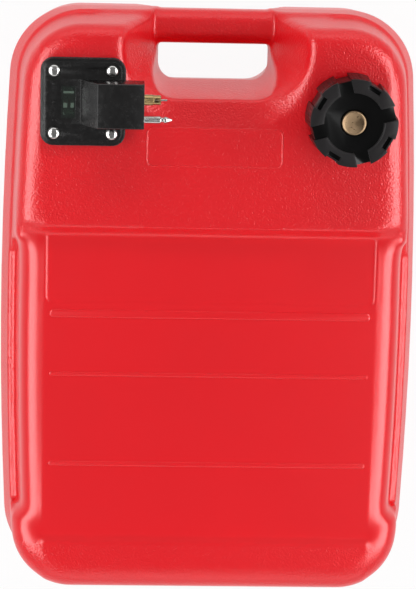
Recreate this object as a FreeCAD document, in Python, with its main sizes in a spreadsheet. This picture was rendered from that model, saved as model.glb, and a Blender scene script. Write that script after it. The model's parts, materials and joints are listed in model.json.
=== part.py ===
import FreeCAD, Part
import math
import operator
import os

import Sketcher
from FreeCAD import Placement, Rotation, Vector

# Portable outboard fuel tank, lying on its back as it does in the boat.
# X runs across the tank, +Y towards the carrying handle, +Z out of the face
# that carries the filler cap and the fuel gauge. The origin is the middle of
# the tank's plan at the level of its base. Lengths are in millimetres.

SIZES = {
    # plan outline of the tank at its parting line
    "half_width": 182.0,
    "half_length": 254.0,
    "side_radius": 3700.0,
    "belly_y": -30.0,
    "head_corner": 60.0,
    "foot_corner": 62.0,
    "wall": 4.0,
    # levels
    "part_z": 88.0,
    "core_z": 80.0,
    "ledge_z": 112.0,
    "panel_z": 161.0,
    "deck_z": 171.0,
    "foot_z": 165.0,
    # back half and skirt, tapers in degrees
    "base_taper": 3.4,
    "base_fillet": 16.0,
    "skirt_side_draft": 7.5,
    "skirt_end_draft": 1.6,
    # panel block
    "panel_side_in": 8.5,
    "panel_taper": 9.1,
    "panel_fillet": 18.0,
    "panel_head_y": 140.0,
    "panel_foot_y": -222.0,
    # hump block, which carries cap and gauge
    "hump_side_in": 6.1,
    "hump_end_in": 1.4,
    "hump_taper": 6.0,
    "hump_fillet": 17.0,
    "hump_step_y": 60.0,
    "hump_step_run": 7.0,
    "step_overlap": 20.0,
    # foot block
    "foot_side_in": 5.3,
    "foot_end_in": 0.2,
    "foot_taper": 3.0,
    "foot_block_corner": 56.0,
    "foot_fillet": 26.0,
    "foot_step_y": -199.0,
    "foot_step_run": 5.0,
    # handle
    "grip_half": 47.2,
    "grip_low_y": 192.2,
    "grip_corner": 15.0,
    "front_flare": 7.5,
    "rear_flare": 6.0,
    "relief_half": 50.0,
    "front_relief_flare": 22.0,
    "rear_relief_flare": 12.0,
    "bar_back": 1.2,
    "bar_width": 29.2,
    "bar_depth": 36.0,
    "bar_corner": 13.0,
    "bar_reach": 66.0,
    "bar_gusset": 12.0,
    "valley_half": 46.0,
    "valley_corner": 20.0,
    "valley_flare": 62.0,
    "valley_rim_y": 190.0,
    "valley_drop": 16.0,
    # face details
    "label_half": 141.0,
    "label_low_y": 6.0,
    "label_depth": 1.2,
    "label_corner": 7.0,
    "rib_half": 137.0,
    "rib_height": 1.0,
    "wide_rib": 6.0,
    "thin_rib": 3.4,
    "first_rib_y": -1.5,
    "second_rib_y": -54.5,
    "third_rib_y": -134.0,
    "frame_width": 112.0,
    "frame_length": 30.0,
    "frame_y": 143.5,
    "frame_line": 1.4,
    "channel_pitch": 120.0,
    "channel_half": 120.0,
    "channel_width": 14.0,
    "channel_depth": 3.0,
    # filler
    "cap_x": 112.0,
    "cap_y": 172.0,
    "neck_radius": 29.0,
    "neck_bore": 23.0,
    "neck_height": 25.0,
    "thread_gap": 2.5,
    "cap_wall": 6.1,
    "cap_draft_in": 1.4,
    "cap_height": 37.5,
    "cap_gap": 3.5,
    "flute_depth": 3.2,
    "disc_radius": 24.6,
    "disc_rim": 1.0,
    "disc_depth": 4.0,
    "notch_width": 11.5,
    "slot_length": 11.0,
    "slot_width": 3.6,
    "slot_inset": 31.4,
    "slot_depth": 5.0,
    "seal_height": 2.5,
    "seal_border": 1.5,
    "vent_head": 10.2,
    "vent_head_height": 5.5,
    "vent_recess": 10.9,
    "vent_recess_depth": 4.4,
    "vent_stem": 4.0,
    "vent_stem_length": 6.5,
    "vent_ring_height": 1.5,
    "vent_ring_outer": 7.0,
    "running_gap": 0.06,
    # gauge and connector
    "gauge_x": -110.5,
    "gauge_y": 181.0,
    "aperture": 22.5,
    "gasket_height": 1.5,
    "gasket_border": 0.8,
    "plate_width": 69.0,
    "plate_length": 72.0,
    "plate_corner": 10.0,
    "plate_height": 3.6,
    "land_border": 2.6,
    "land_height": 0.9,
    "screw_x": 24.0,
    "screw_y": 26.0,
    "screw_radius": 2.5,
    "screw_length": 15.0,
    "screw_hole": 2.75,
    "screw_head": 4.9,
    "screw_head_height": 3.0,
    "insert_radius": 4.0,
    "insert_length": 12.0,
    "boss_radius": 8.0,
    "spigot_gap": 1.0,
    "spigot_depth": 14.0,
    "housing_slope_x": -2.5,
    "housing_top_x": 12.5,
    "housing_face_x": 50.5,
    "housing_height": 34.0,
    "housing_low_y": -18.0,
    "housing_high_y": 19.0,
    "housing_draft": 1.5,
    "housing_lift": 1.0,
    "port_z": 22.5,
    "prong_y": 5.2,
    "pin_y": -11.1,
    "window_x": -12.0,
    "window_width": 9.0,
    "window_length": 24.0,
    "lens_border": 1.4,
    "lens_height": 1.5,
    "dial_x": -29.0,
    "dial_height": 0.6,
    "mark_x": -25.0,
    "mark_length": 3.0,
    "mark_width": 1.0,
    "mark_pitch": 15.0,
    "mark_height": 0.4,
    # connector metalwork
    "prong_radius": 4.5,
    "prong_nose": 4.0,
    "prong_reach": 13.8,
    "prong_nose_length": 6.6,
    "prong_shank": 5.0,
    "prong_shank_length": 18.0,
    "prong_bore": 3.0,
    "prong_mouth": 1.5,
    "prong_outlet": 1.9,
    "prong_outlet_back": 3.6,
    "needle_radius": 0.8,
    "needle_collar": 2.7,
    "needle_collar_height": 2.0,
    "needle_reach": 5.2,
    "needle_tail": 7.0,
    "spring_wire": 0.35,
    "spring_radius": 2.0,
    "spring_turns": 6.0,
    "nut_height": 3.0,
    "ring_wire": 0.9,
    "pin_radius": 3.0,
    "pin_reach": 14.0,
    "pin_shank": 3.4,
    "pin_shank_length": 15.0,
    "pin_neck": 2.0,
    "pin_neck_length": 2.2,
    "pin_tip_length": 7.0,
    "duct_radius": 2.5,
    # pick-up and float
    "tube_x": 14.0,
    "tube_radius": 4.0,
    "tube_wall": 1.0,
    "tube_seat": 9.0,
    "tube_floor_gap": 6.0,
    "strainer_radius": 8.0,
    "strainer_length": 24.0,
    "strainer_wall": 1.2,
    "bracket_height": 1.5,
    "bracket_radius": 19.5,
    "pivot_drop": 22.5,
    "ear_gap": 10.0,
    "ear_height": 1.5,
    "ear_width": 10.0,
    "bracket_screw_radius": 1.5,
    "bracket_screw_y": 15.0,
    "bracket_screw_x": 3.0,
    "pivot_radius": 1.5,
    "hub_radius": 4.0,
    "hub_length": 9.4,
    "flag_radius": 24.0,
    "flag_half_angle": 3.5,
    "flag_rest_angle": 22.0,
    "flag_thickness": 2.0,
    "stem_radius": 1.3,
    "arm_rest_angle": 58.0,
    "arm_length": 150.0,
    "arm_radius": 1.25,
    "arm_bend": 6.0,
    "arm_foot": 46.0,
    "float_radius": 14.0,
    "float_length": 34.0,
    "float_start": 9.0,
    "clip_height": 1.2,
    "clip_radius": 4.0,
}

doc = FreeCAD.newDocument("fuel_tank")
sheet = doc.addObject("Spreadsheet::Sheet", "sizes")


class Size:
    """A number together with the sheet expression that gives it."""

    def __init__(self, value, text):
        self.value = float(value)
        self.text = text

    def joined(self, sign, work, other, swapped=False):
        if not isinstance(other, Size):
            other = Size(other, repr(other))
        first, second = (other, self) if swapped else (self, other)
        return Size(work(first.value, second.value), f"({first.text} {sign} {second.text})")

    def __add__(self, other):
        return self.joined("+", operator.add, other)

    def __radd__(self, other):
        return self.joined("+", operator.add, other, True)

    def __sub__(self, other):
        return self.joined("-", operator.sub, other)

    def __rsub__(self, other):
        return self.joined("-", operator.sub, other, True)

    def __mul__(self, other):
        return self.joined("*", operator.mul, other)

    def __rmul__(self, other):
        return self.joined("*", operator.mul, other, True)

    def __truediv__(self, other):
        return self.joined("/", operator.truediv, other)

    def __neg__(self):
        return Size(-self.value, f"(-1 * {self.text})")


class Sheet:
    """The driving dimensions as attributes, each a Size."""

    def __init__(self, table):
        for row, (name, value) in enumerate(table.items(), 1):
            sheet.set(f"A{row}", name)
            sheet.set(f"B{row}", str(value))
            sheet.setAlias(f"B{row}", name)
            setattr(self, name, Size(value, f"sizes.{name}"))


S = Sheet(SIZES)
NONE = Size(0, "0")
FAR = Size(400, "400")
doc.recompute()


def bind(feature, name, size):
    setattr(feature, name, size.value)
    feature.setExpression(name, size.text)


def place(feature, x=NONE, y=NONE, z=NONE, turn=None):
    feature.Placement = Placement(Vector(x.value, y.value, z.value), turn or Rotation())
    for axis, size in zip("xyz", (x, y, z)):
        feature.setExpression(f"Placement.Base.{axis}", size.text)


def new_body(label, *at, turn=None):
    body = doc.addObject("PartDesign::Body", label)
    if at:
        place(body, *at, turn=turn)
    return body


class Drawing:
    """A sketch on a plane of its own body, each dimension bound to the sheet."""

    def __init__(self, body, name, plane="XY_Plane", level=NONE):
        self.sketch = body.newObject("Sketcher::SketchObject", name)
        origin = [f for f in body.Origin.OriginFeatures if f.Role == plane]
        self.sketch.AttachmentSupport = [(origin[0], "")]
        self.sketch.MapMode = "FlatFace"
        self.sketch.AttachmentOffset = Placement(Vector(0, 0, level.value), Rotation())
        self.sketch.setExpression("AttachmentOffset.Base.z", level.text)

    def rule(self, *words):
        return self.sketch.addConstraint(Sketcher.Constraint(*words))

    def size(self, *words):
        index = self.rule(*words[:-1], words[-1].value)
        self.sketch.setExpression(f"Constraints[{index}]", words[-1].text)

    def point(self, curve, end, x, y):
        self.size("DistanceX", -1, 1, curve, end, x)
        self.size("DistanceY", -1, 1, curve, end, y)

    def line(self, start, end):
        return self.sketch.addGeometry(Part.LineSegment(Vector(*start, 0), Vector(*end, 0)), False)

    def arc(self, centre, radius, start, end):
        circle = Part.Circle(Vector(*centre, 0), Vector(0, 0, 1), radius)
        return self.sketch.addGeometry(Part.ArcOfCircle(circle, start, end), False)

    def circle(self, x, y, radius):
        centre = Vector(x.value, y.value, 0)
        curve = self.sketch.addGeometry(Part.Circle(centre, Vector(0, 0, 1), radius.value), False)
        self.point(curve, 3, x, y)
        self.size("Radius", curve, radius)
        return self

    def polygon(self, *corners):
        ends = [(x.value, y.value) for x, y in corners]
        curves = [self.line(a, b) for a, b in zip(ends, ends[1:] + ends[:1])]
        for curve, after, (x, y) in zip(curves, curves[1:] + curves[:1], corners):
            self.rule("Coincident", curve, 2, after, 1)
            self.point(curve, 1, x, y)
        return self

    def rectangle(self, left, low, right, high):
        return self.polygon((left, low), (right, low), (right, high), (left, high))

    def rounded(self, left, low, right, high, radius):
        """Rectangle with four round corners."""
        x0, y0, x1, y1, r = (s.value for s in (left, low, right, high, radius))
        quarter = math.pi / 2
        sides = [
            (self.line((x0 + r, y0), (x1 - r, y0)), self.arc((x1 - r, y0 + r), r, -quarter, 0)),
            (self.line((x1, y0 + r), (x1, y1 - r)), self.arc((x1 - r, y1 - r), r, 0, quarter)),
            (self.line((x1 - r, y1), (x0 + r, y1)), self.arc((x0 + r, y1 - r), r, quarter, 2 * quarter)),
            (self.line((x0, y1 - r), (x0, y0 + r)), self.arc((x0 + r, y0 + r), r, 2 * quarter, 3 * quarter)),
        ]
        for (side, corner), (after, _) in zip(sides, sides[1:] + sides[:1]):
            self.rule("Tangent", side, 2, corner, 1)
            self.rule("Tangent", corner, 2, after, 1)
            self.size("Radius", corner, radius)
        for (side, _), kind, place_of, size in zip(
            sides, ("Horizontal", "Vertical") * 2, ("DistanceY", "DistanceX") * 2, (low, right, high, left)
        ):
            self.rule(kind, side)
            self.size(place_of, -1, 1, side, 1, size)
        return self

    def outline(self, half, head, foot, head_radius=None, foot_radius=None, bow=None):
        """Plan of the tank: bowed sides, straight ends, and round or sharp corners."""
        bow = bow or S.side_radius
        reach = bow.value
        side_x = half.value - reach
        belly = S.belly_y.value

        def corner(end, radius, up):
            """Corner centre and the side arc's end angle."""
            if radius is None:
                return None, math.asin((end.value - belly) / reach)
            y = end.value - up * radius.value
            span = reach - radius.value
            x = side_x + math.sqrt(span ** 2 - (y - belly) ** 2)
            return (x, y), math.asin((y - belly) / span)

        high, head_angle = corner(head, head_radius, 1)
        low, foot_angle = corner(foot, foot_radius, -1)
        chain = [self.arc((side_x, belly), reach, foot_angle, head_angle)]
        head_x = high[0] if high else side_x + reach * math.cos(head_angle)
        foot_x = low[0] if low else side_x + reach * math.cos(foot_angle)
        if high:
            chain.append(self.arc(high, head_radius.value, head_angle, math.pi / 2))
        chain.append(self.line((head_x, head.value), (-head_x, head.value)))
        head_line = chain[-1]
        if high:
            chain.append(self.arc((-high[0], high[1]), head_radius.value, math.pi / 2, math.pi - head_angle))
        chain.append(self.arc((-side_x, belly), reach, math.pi - head_angle, math.pi - foot_angle))
        left = chain[-1]
        if low:
            chain.append(self.arc((-low[0], low[1]), foot_radius.value, math.pi - foot_angle, math.pi * 1.5))
        chain.append(self.line((-foot_x, foot.value), (foot_x, foot.value)))
        foot_line = chain[-1]
        if low:
            chain.append(self.arc(low, foot_radius.value, -math.pi / 2, foot_angle))
        for curve, after in zip(chain, chain[1:] + chain[:1]):
            meets_sharp = (not high and head_line in (curve, after)) or (not low and foot_line in (curve, after))
            self.rule("Coincident" if meets_sharp else "Tangent", curve, 2, after, 1)
        for side, x in ((chain[0], half - bow), (left, bow - half)):
            self.point(side, 3, x, S.belly_y)
            self.size("Radius", side, bow)
        for line, y in ((head_line, head), (foot_line, foot)):
            self.rule("Horizontal", line)
            self.size("DistanceY", -1, 1, line, 1, y)
        for line, radius in ((head_line, head_radius), (foot_line, foot_radius)):
            if radius is not None:
                spot = chain.index(line)
                self.size("Radius", chain[spot - 1], radius)
                self.size("Radius", chain[(spot + 1) % len(chain)], radius)
        return self


def pad(body, drawing, length, name, both_ways=False, backwards=False):
    feature = body.newObject("PartDesign::Pad", name)
    feature.Profile = drawing.sketch
    feature.Midplane = both_ways
    feature.Reversed = backwards
    feature.Refine = False
    bind(feature, "Length", length)
    return feature


def pocket(body, drawing, length, name, both_ways=False, backwards=False):
    feature = body.newObject("PartDesign::Pocket", name)
    feature.Profile = drawing.sketch
    feature.Midplane = both_ways
    feature.Reversed = backwards
    feature.Refine = False
    bind(feature, "Length", length)
    return feature


def loft(body, low, high, name):
    feature = body.newObject("PartDesign::AdditiveLoft", name)
    feature.Profile = low.sketch
    feature.Sections = [high.sketch]
    feature.Ruled = True
    feature.Refine = False
    return feature


def turned(body, drawing, name, kind="Revolution"):
    """Full turn of a profile drawn in the XZ plane about the body's Z axis."""
    feature = body.newObject(f"PartDesign::{kind}", name)
    feature.Profile = drawing.sketch
    feature.ReferenceAxis = (drawing.sketch, ["V_Axis"])
    feature.Angle = 360.0
    return feature


def polar(body, feature, count, name):
    pattern = body.newObject("PartDesign::PolarPattern", name)
    pattern.Originals = [feature]
    axis = [f for f in body.Origin.OriginFeatures if f.Role == "Z_Axis"]
    pattern.Axis = (axis[0], [""])
    pattern.Angle = 360.0
    pattern.Occurrences = count
    body.Tip = pattern
    return pattern


def dress(body, kind, base, measure, size, wanted, name):
    """Fillet or chamfer on every edge of the base feature that the test accepts."""
    doc.recompute()
    edges = [f"Edge{i}" for i, edge in enumerate(base.Shape.Edges, 1) if wanted(edge)]
    if not edges:
        raise ValueError(f"{name}: no edge to dress")
    feature = body.newObject(f"PartDesign::{kind}", name)
    feature.Base = (base, edges)
    feature.Refine = False
    bind(feature, measure, size)
    return feature


def fillet(body, base, radius, wanted, name):
    return dress(body, "Fillet", base, "Radius", radius, wanted, name)


def level(z, *tests):
    """Test for edges that lie flat at height z and pass the other tests."""

    def accepts(edge):
        heights = [vertex.Z for vertex in edge.Vertexes] + [edge.CenterOfMass.z]
        flat = all(abs(height - z.value) < 0.01 for height in heights)
        return flat and all(test(edge) for test in tests)

    return accepts


# ---------------------------------------------------------------- tank shell


def plan(body, name, at, half, head, foot, head_radius=None, foot_radius=None):
    return Drawing(body, name, level=at).outline(half, head, foot, head_radius, foot_radius)


def tapered(body, drawing, height, taper, name, backwards=False):
    """Pad that draws in evenly all round towards its far end."""
    block = pad(body, drawing, height, name, backwards=backwards)
    bind(block, "TaperAngle", -taper)
    return block


def rear_block(body, inset):
    """Back half of the tank, from the parting line down to the base."""
    end = S.half_length - inset
    parting = Drawing(body, "rear_parting", level=S.part_z).outline(
        S.half_width - inset, end, -end, S.head_corner - inset, S.foot_corner - inset, S.side_radius - inset
    )
    block = tapered(body, parting, S.part_z - inset, S.base_taper, "rear_block", backwards=True)
    fillet(body, block, S.base_fillet - inset, level(inset), "base_round")


def skirt_block(body, inset):
    """Front skirt from the parting line up to the ledge."""
    length = S.half_length - inset
    half = S.half_width - inset
    low = plan(body, "skirt_low", S.part_z, half, length, -length, S.head_corner - inset, S.foot_corner - inset)
    high = plan(
        body, "skirt_high", S.ledge_z - inset, half - S.skirt_side_draft, length - S.skirt_end_draft,
        S.skirt_end_draft - length, S.head_corner - inset - S.skirt_end_draft,
        S.foot_corner - inset - S.skirt_end_draft,
    )
    loft(body, low, high, "skirt_block")


def panel_block(body, inset):
    """Raised face panel between hump and foot, rounded along both sides."""
    half = S.half_width - S.panel_side_in - inset
    ends = (S.panel_head_y - inset, S.panel_foot_y + inset)
    top = S.panel_z - inset
    low = plan(body, "panel_plan", S.core_z, half, *ends)
    block = tapered(body, low, top - S.core_z, S.panel_taper, "panel_block")
    along = level(top, lambda edge: abs(edge.CenterOfMass.x) > 1)
    fillet(body, block, S.panel_fillet - inset, along, "panel_round")


def hump_block(body, inset):
    """Higher deck at the handle end, with a sloped step down to the panel."""
    half = S.half_width - S.hump_side_in - inset
    head = S.half_length - S.hump_end_in - inset
    step = S.hump_step_y + inset
    back = step - S.step_overlap
    top = S.deck_z - inset
    low = plan(body, "hump_plan", S.core_z, half, head, back, S.head_corner - S.hump_end_in - inset)
    block = tapered(body, low, top - S.core_z, S.hump_taper, "hump_block")
    rim = level(top, lambda edge: edge.CenterOfMass.y > step.value + 1)
    fillet(body, block, S.hump_fillet - inset, rim, "hump_round")
    slope = Drawing(body, "step_slope", "YZ_Plane").polygon(
        (back, S.panel_z - inset), (step, S.panel_z - inset), (step + S.hump_step_run, top), (back, top)
    )
    pocket(body, slope, FAR, "step_cut", both_ways=True)


def foot_block(body, inset):
    """Low step at the foot end, with large round corners."""
    half = S.half_width - S.foot_side_in - inset
    foot = S.foot_end_in + inset - S.half_length
    step = S.foot_step_y - inset
    back = step + S.step_overlap
    top = S.foot_z - inset
    low = plan(body, "foot_plan", S.core_z, half, back, foot, None, S.foot_block_corner - inset)
    block = tapered(body, low, top - S.core_z, S.foot_taper, "foot_block")
    rim = level(top, lambda edge: edge.CenterOfMass.y < back.value - 6)
    fillet(body, block, S.foot_fillet - inset, rim, "foot_round")
    slope = Drawing(body, "foot_slope", "YZ_Plane").polygon(
        (back, S.panel_z - inset), (back, top), (step - S.foot_step_run, top), (step, S.panel_z - inset)
    )
    pocket(body, slope, FAR, "foot_step_cut", both_ways=True)


def valley_cut(body, inset):
    """Saddle between the two shoulders, sloping down to the opening for the hand."""
    half = S.valley_half + inset
    floor = Drawing(body, "valley_floor", level=S.deck_z - S.valley_drop - inset)
    floor.rounded(-half, S.valley_rim_y - inset, half, FAR, S.valley_corner)
    cut = pocket(body, floor, S.valley_drop + 1, "valley_cut", backwards=True)
    bind(cut, "TaperAngle", S.valley_flare)

def hand_bay(body, inset):
    """Opening for the hand, flared to the front and to the back."""
    half = S.grip_half + inset
    low = S.grip_low_y - inset
    for side, depth, flare in (("front", S.deck_z, S.front_flare), ("rear", S.part_z, S.rear_flare)):
        throat = Drawing(body, f"{side}_throat", level=S.part_z)
        throat.rounded(-half, low, half, FAR, S.grip_corner + inset)
        cut = pocket(body, throat, depth, f"{side}_bay", backwards=side == "front")
        bind(cut, "TaperAngle", flare)


def bar_relief(body, inset):
    """Room in front of and behind the handle bar, between the shoulders."""
    bar_low = S.half_length - S.bar_back - S.bar_width - inset
    half = S.relief_half + inset
    ends = (
        ("front", S.part_z + S.bar_gusset - inset, S.deck_z, S.front_relief_flare),
        ("rear", S.part_z - S.bar_gusset + inset, S.part_z, S.rear_relief_flare),
    )
    for side, start, depth, flare in ends:
        relief = Drawing(body, f"{side}_relief", level=start)
        relief.rounded(-half, bar_low - S.bar_corner, half, FAR, S.bar_corner)
        cut = pocket(body, relief, depth, f"{side}_relief_cut", backwards=side == "front")
        bind(cut, "TaperAngle", flare)


def handle_bar(body, inset):
    """Round-edged grip bar across the bay."""
    outer = S.half_length - S.bar_back
    section = Drawing(body, "bar_section", "YZ_Plane").rounded(
        outer - S.bar_width + inset, S.part_z - S.bar_depth / 2 + inset, outer - inset,
        S.part_z + S.bar_depth / 2 - inset, S.bar_corner - inset,
    )
    pad(body, section, S.bar_reach * 2, "handle_bar", both_ways=True)


def base_channels(body, inset):
    """Three shallow stiffening channels across the base."""
    for number in (-1, 0, 1):
        y = S.channel_pitch * number
        width = S.channel_width / 2 + inset
        slot = Drawing(body, f"channel_plan_{number + 2}", level=inset).rounded(
            -S.channel_half - inset, y - width, S.channel_half + inset, y + width, width - 0.5
        )
        pocket(body, slot, S.channel_depth, f"channel_{number + 2}", backwards=True)


def tank_form(name, inset):
    """The tank's form, drawn in from its outside by the inset."""
    body = new_body(name)
    rear_block(body, inset)
    skirt_block(body, inset)
    panel_block(body, inset)
    hump_block(body, inset)
    foot_block(body, inset)
    valley_cut(body, inset)
    hand_bay(body, inset)
    bar_relief(body, inset)
    handle_bar(body, inset)
    base_channels(body, inset)
    return body


def face_details(body):
    """Label recess, three ribs and the plain frame on the deck."""
    label = Drawing(body, "label_plan", level=S.panel_z).rounded(
        -S.label_half, S.label_low_y, S.label_half, S.hump_step_y, S.label_corner
    )
    pocket(body, label, S.label_depth, "label_recess")
    ribs = ((S.first_rib_y, S.wide_rib), (S.second_rib_y, S.thin_rib), (S.third_rib_y, S.thin_rib))
    for number, (y, width) in enumerate(ribs, 1):
        rib = Drawing(body, f"rib_plan_{number}", level=S.panel_z - 1).rounded(
            -S.rib_half, y - width / 2, S.rib_half, y + width / 2, width / 2 - 0.1
        )
        pad(body, rib, S.rib_height + 1, f"rib_{number}")
    half = S.frame_width / 2
    rise = S.frame_length / 2
    line = S.frame_line
    frame = Drawing(body, "frame_plan", level=S.deck_z - 1)
    frame.rounded(-half, S.frame_y - rise, half, S.frame_y + rise, line * 3)
    frame.rounded(line - half, S.frame_y - rise + line, half - line, S.frame_y + rise - line, line * 2)
    pad(body, frame, S.rib_height + 1, "deck_frame")


def screw_places():
    return [(S.screw_x * a, S.screw_y * b) for a, b in ((-1, -1), (1, -1), (1, 1), (-1, 1))]


def insert_bosses(body):
    """Columns left standing in the hollow, round the four inserts."""
    under = S.deck_z - S.wall
    bosses = Drawing(body, "boss_plan", level=under)
    for x, y in screw_places():
        bosses.circle(S.gauge_x + x, S.gauge_y + y, S.boss_radius)
    pocket(body, bosses, S.insert_length, "insert_bosses")


def cylinder(name, radius, height, x, y, z):
    shape = doc.addObject("Part::Cylinder", name)
    bind(shape, "Radius", radius)
    bind(shape, "Height", height)
    place(shape, x, y, z)
    return shape


def tank_shell():
    outside = tank_form("tank_outside", NONE)
    face_details(outside)
    neck = Drawing(outside, "neck_plan", level=S.deck_z - S.wall).circle(S.cap_x, S.cap_y, S.neck_radius)
    pad(outside, neck, S.neck_height + S.wall, "filler_neck")
    hollow = tank_form("tank_hollow", S.wall)
    insert_bosses(hollow)
    reach = S.neck_height + S.wall * 3
    cuts = [
        hollow,
        cylinder("neck_cut", S.neck_bore, reach, S.cap_x, S.cap_y, S.deck_z - S.wall * 2),
        cylinder("aperture_cut", S.aperture, S.wall * 3, S.gauge_x, S.gauge_y, S.deck_z - S.wall * 2),
    ]
    for number, (x, y) in enumerate(screw_places(), 1):
        at = (S.gauge_x + x, S.gauge_y + y, S.deck_z - S.insert_length)
        cuts.append(cylinder(f"insert_cut_{number}", S.insert_radius, S.insert_length * 2, *at))
    tools = doc.addObject("Part::MultiFuse", "shell_tools")
    tools.Shapes = cuts
    shell = doc.addObject("Part::Cut", "tank_shell")
    shell.Base = outside
    shell.Tool = tools
    return shell


# ---------------------------------------------------------------- filler cap


def seat_height():
    """Height of the cap seal's upper face above the deck."""
    return S.neck_height + S.seal_height


def cap_bore():
    return S.neck_radius + S.thread_gap


def cap_radius():
    return cap_bore() + S.cap_wall


def filler_cap():
    """Screw cap, turned a little so that its notches stand askew to the tank."""
    body = new_body("filler_cap", S.cap_x, S.cap_y, S.deck_z, turn=Rotation(Vector(0, 0, 1), 15))
    bore = cap_bore()
    outer = cap_radius()
    top = S.cap_gap + S.cap_height
    disc = top - S.disc_depth
    recess = disc - S.vent_recess_depth
    hole = S.vent_stem + S.running_gap
    profile = Drawing(body, "cap_section", "XZ_Plane").polygon(
        (bore, S.cap_gap), (outer, S.cap_gap), (outer - S.cap_draft_in, top),
        (S.disc_radius + S.disc_rim, top), (S.disc_radius, top - S.disc_rim), (S.disc_radius, disc),
        (S.vent_recess, disc), (S.vent_recess, recess), (hole, recess), (hole, seat_height()),
        (bore, seat_height()),
    )
    turned(body, profile, "cap_turning")
    half = S.notch_width / 2
    notch = Drawing(body, "notch_plan", level=top).rectangle(S.disc_radius - 1, -half, outer * 2, half)
    first = pocket(body, notch, S.disc_depth, "crown_notch")
    polar(body, first, 4, "crown_notches")
    side = Drawing(body, "flute_plan", level=top).rectangle(outer - S.flute_depth, -half, outer * 2, half)
    flute = pocket(body, side, S.cap_height, "side_flute")
    polar(body, flute, 8, "side_flutes")
    slot_half = S.slot_length / 2
    angle_x = S.slot_inset
    slot = Drawing(body, "slot_plan", level=top).rectangle(
        -slot_half, angle_x - S.slot_width / 2, slot_half, angle_x + S.slot_width / 2
    )
    slot.sketch.AttachmentOffset = Placement(Vector(0, 0, top.value), Rotation(Vector(0, 0, 1), 45))
    slot.sketch.setExpression("AttachmentOffset.Base.z", top.text)
    dent = pocket(body, slot, S.slot_depth, "crown_slot")
    polar(body, dent, 4, "crown_slots")
    return body


def ring(label, inner, outer, height, x, y, z):
    """Flat washer or ring of rectangular section."""
    body = new_body(label, x, y, z)
    drawing = Drawing(body, f"{label}_plan").circle(NONE, NONE, outer).circle(NONE, NONE, inner)
    pad(body, drawing, height, f"{label}_pad")
    return body


def cap_seal():
    outer = S.neck_radius + S.seal_border
    return ring("cap_seal", S.neck_bore + 1, outer, S.seal_height, S.cap_x, S.cap_y, S.deck_z + S.neck_height)


def vent_floor():
    """Level of the recess that the vent ring lies in."""
    return S.deck_z + S.cap_gap + S.cap_height - S.disc_depth - S.vent_recess_depth


def vent_seal():
    inner = S.vent_stem + S.running_gap
    return ring("vent_seal", inner, S.vent_ring_outer, S.vent_ring_height, S.cap_x, S.cap_y, vent_floor())


def vent_screw():
    """Brass head with a turned rim and dished face on a threaded stem."""
    body = new_body("vent_screw", S.cap_x, S.cap_y, vent_floor() + S.vent_ring_height)
    high = S.vent_head_height
    rim = S.vent_head - 1.4
    profile = Drawing(body, "vent_section", "XZ_Plane").polygon(
        (NONE, -S.vent_stem_length), (S.vent_stem - 1, -S.vent_stem_length),
        (S.vent_stem, 1 - S.vent_stem_length), (S.vent_stem, NONE), (S.vent_head, NONE),
        (S.vent_head, high - 0.8), (S.vent_head - 0.8, high), (rim, high), (rim - 0.5, high - 0.5),
        (NONE, high - 0.5),
    )
    turned(body, profile, "vent_turning")
    return body


# ---------------------------------------------------------------- gauge plate


def plate_level():
    return S.deck_z + S.gasket_height


def plate_top():
    return S.plate_height + S.land_height


def plate_plan(body, name, at, border):
    half = S.plate_width / 2 - border
    rise = S.plate_length / 2 - border
    return Drawing(body, name, level=at).rounded(-half, -rise, half, rise, S.plate_corner - border)


def gauge_plate():
    body = new_body("gauge_plate", S.gauge_x, S.gauge_y, plate_level())
    pad(body, plate_plan(body, "flange_plan", NONE, NONE), S.plate_height, "flange")
    pad(body, plate_plan(body, "land_plan", S.plate_height, S.land_border), S.land_height, "land")
    spigot = Drawing(body, "spigot_plan").circle(NONE, NONE, S.aperture - S.spigot_gap)
    pad(body, spigot, S.spigot_depth, "spigot", backwards=True)
    gauge_dial(body)
    connector_housing(body)
    screw_holes(body)
    window_slot(body)
    fuel_ducts(body)
    return body


def gauge_dial(body):
    """Raised field beside the housing, with three plain marks for full, half and empty."""
    field = Drawing(body, "dial_plan", level=plate_top() - 1)
    field.rectangle(S.dial_x, S.housing_low_y, S.housing_slope_x + 1, S.housing_high_y)
    pad(body, field, S.dial_height + 1, "dial")
    marks = Drawing(body, "mark_plan", level=plate_top())
    for number in (-1, 0, 1):
        y = S.mark_pitch * number
        half = S.mark_width / 2
        marks.rectangle(S.mark_x, y - half, S.mark_x + S.mark_length, y + half)
    pad(body, marks, S.dial_height + S.mark_height, "dial_marks")


def connector_housing(body):
    """Block with a sloped back that carries prong and pin over the plate's edge."""
    middle = (S.housing_low_y + S.housing_high_y) / 2
    lift = plate_top() + S.housing_lift
    edge = S.plate_width / 2
    profile = Drawing(body, "housing_profile", "XZ_Plane", -middle).polygon(
        (S.housing_slope_x, S.plate_height), (edge, S.plate_height), (edge + 1, lift), (S.housing_face_x, lift),
        (S.housing_face_x, S.housing_height), (S.housing_top_x, S.housing_height),
    )
    block = pad(body, profile, S.housing_high_y - S.housing_low_y, "housing", both_ways=True)
    top = level(S.housing_height, lambda edge: abs(edge.CenterOfMass.y - middle.value) > 1)
    fillet(body, block, S.housing_draft, top, "housing_round")


def screw_holes(body):
    drawing = Drawing(body, "hole_plan", level=plate_top())
    for x, y in screw_places():
        drawing.circle(x, y, S.screw_hole)
    pocket(body, drawing, plate_top(), "screw_holes")


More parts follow.
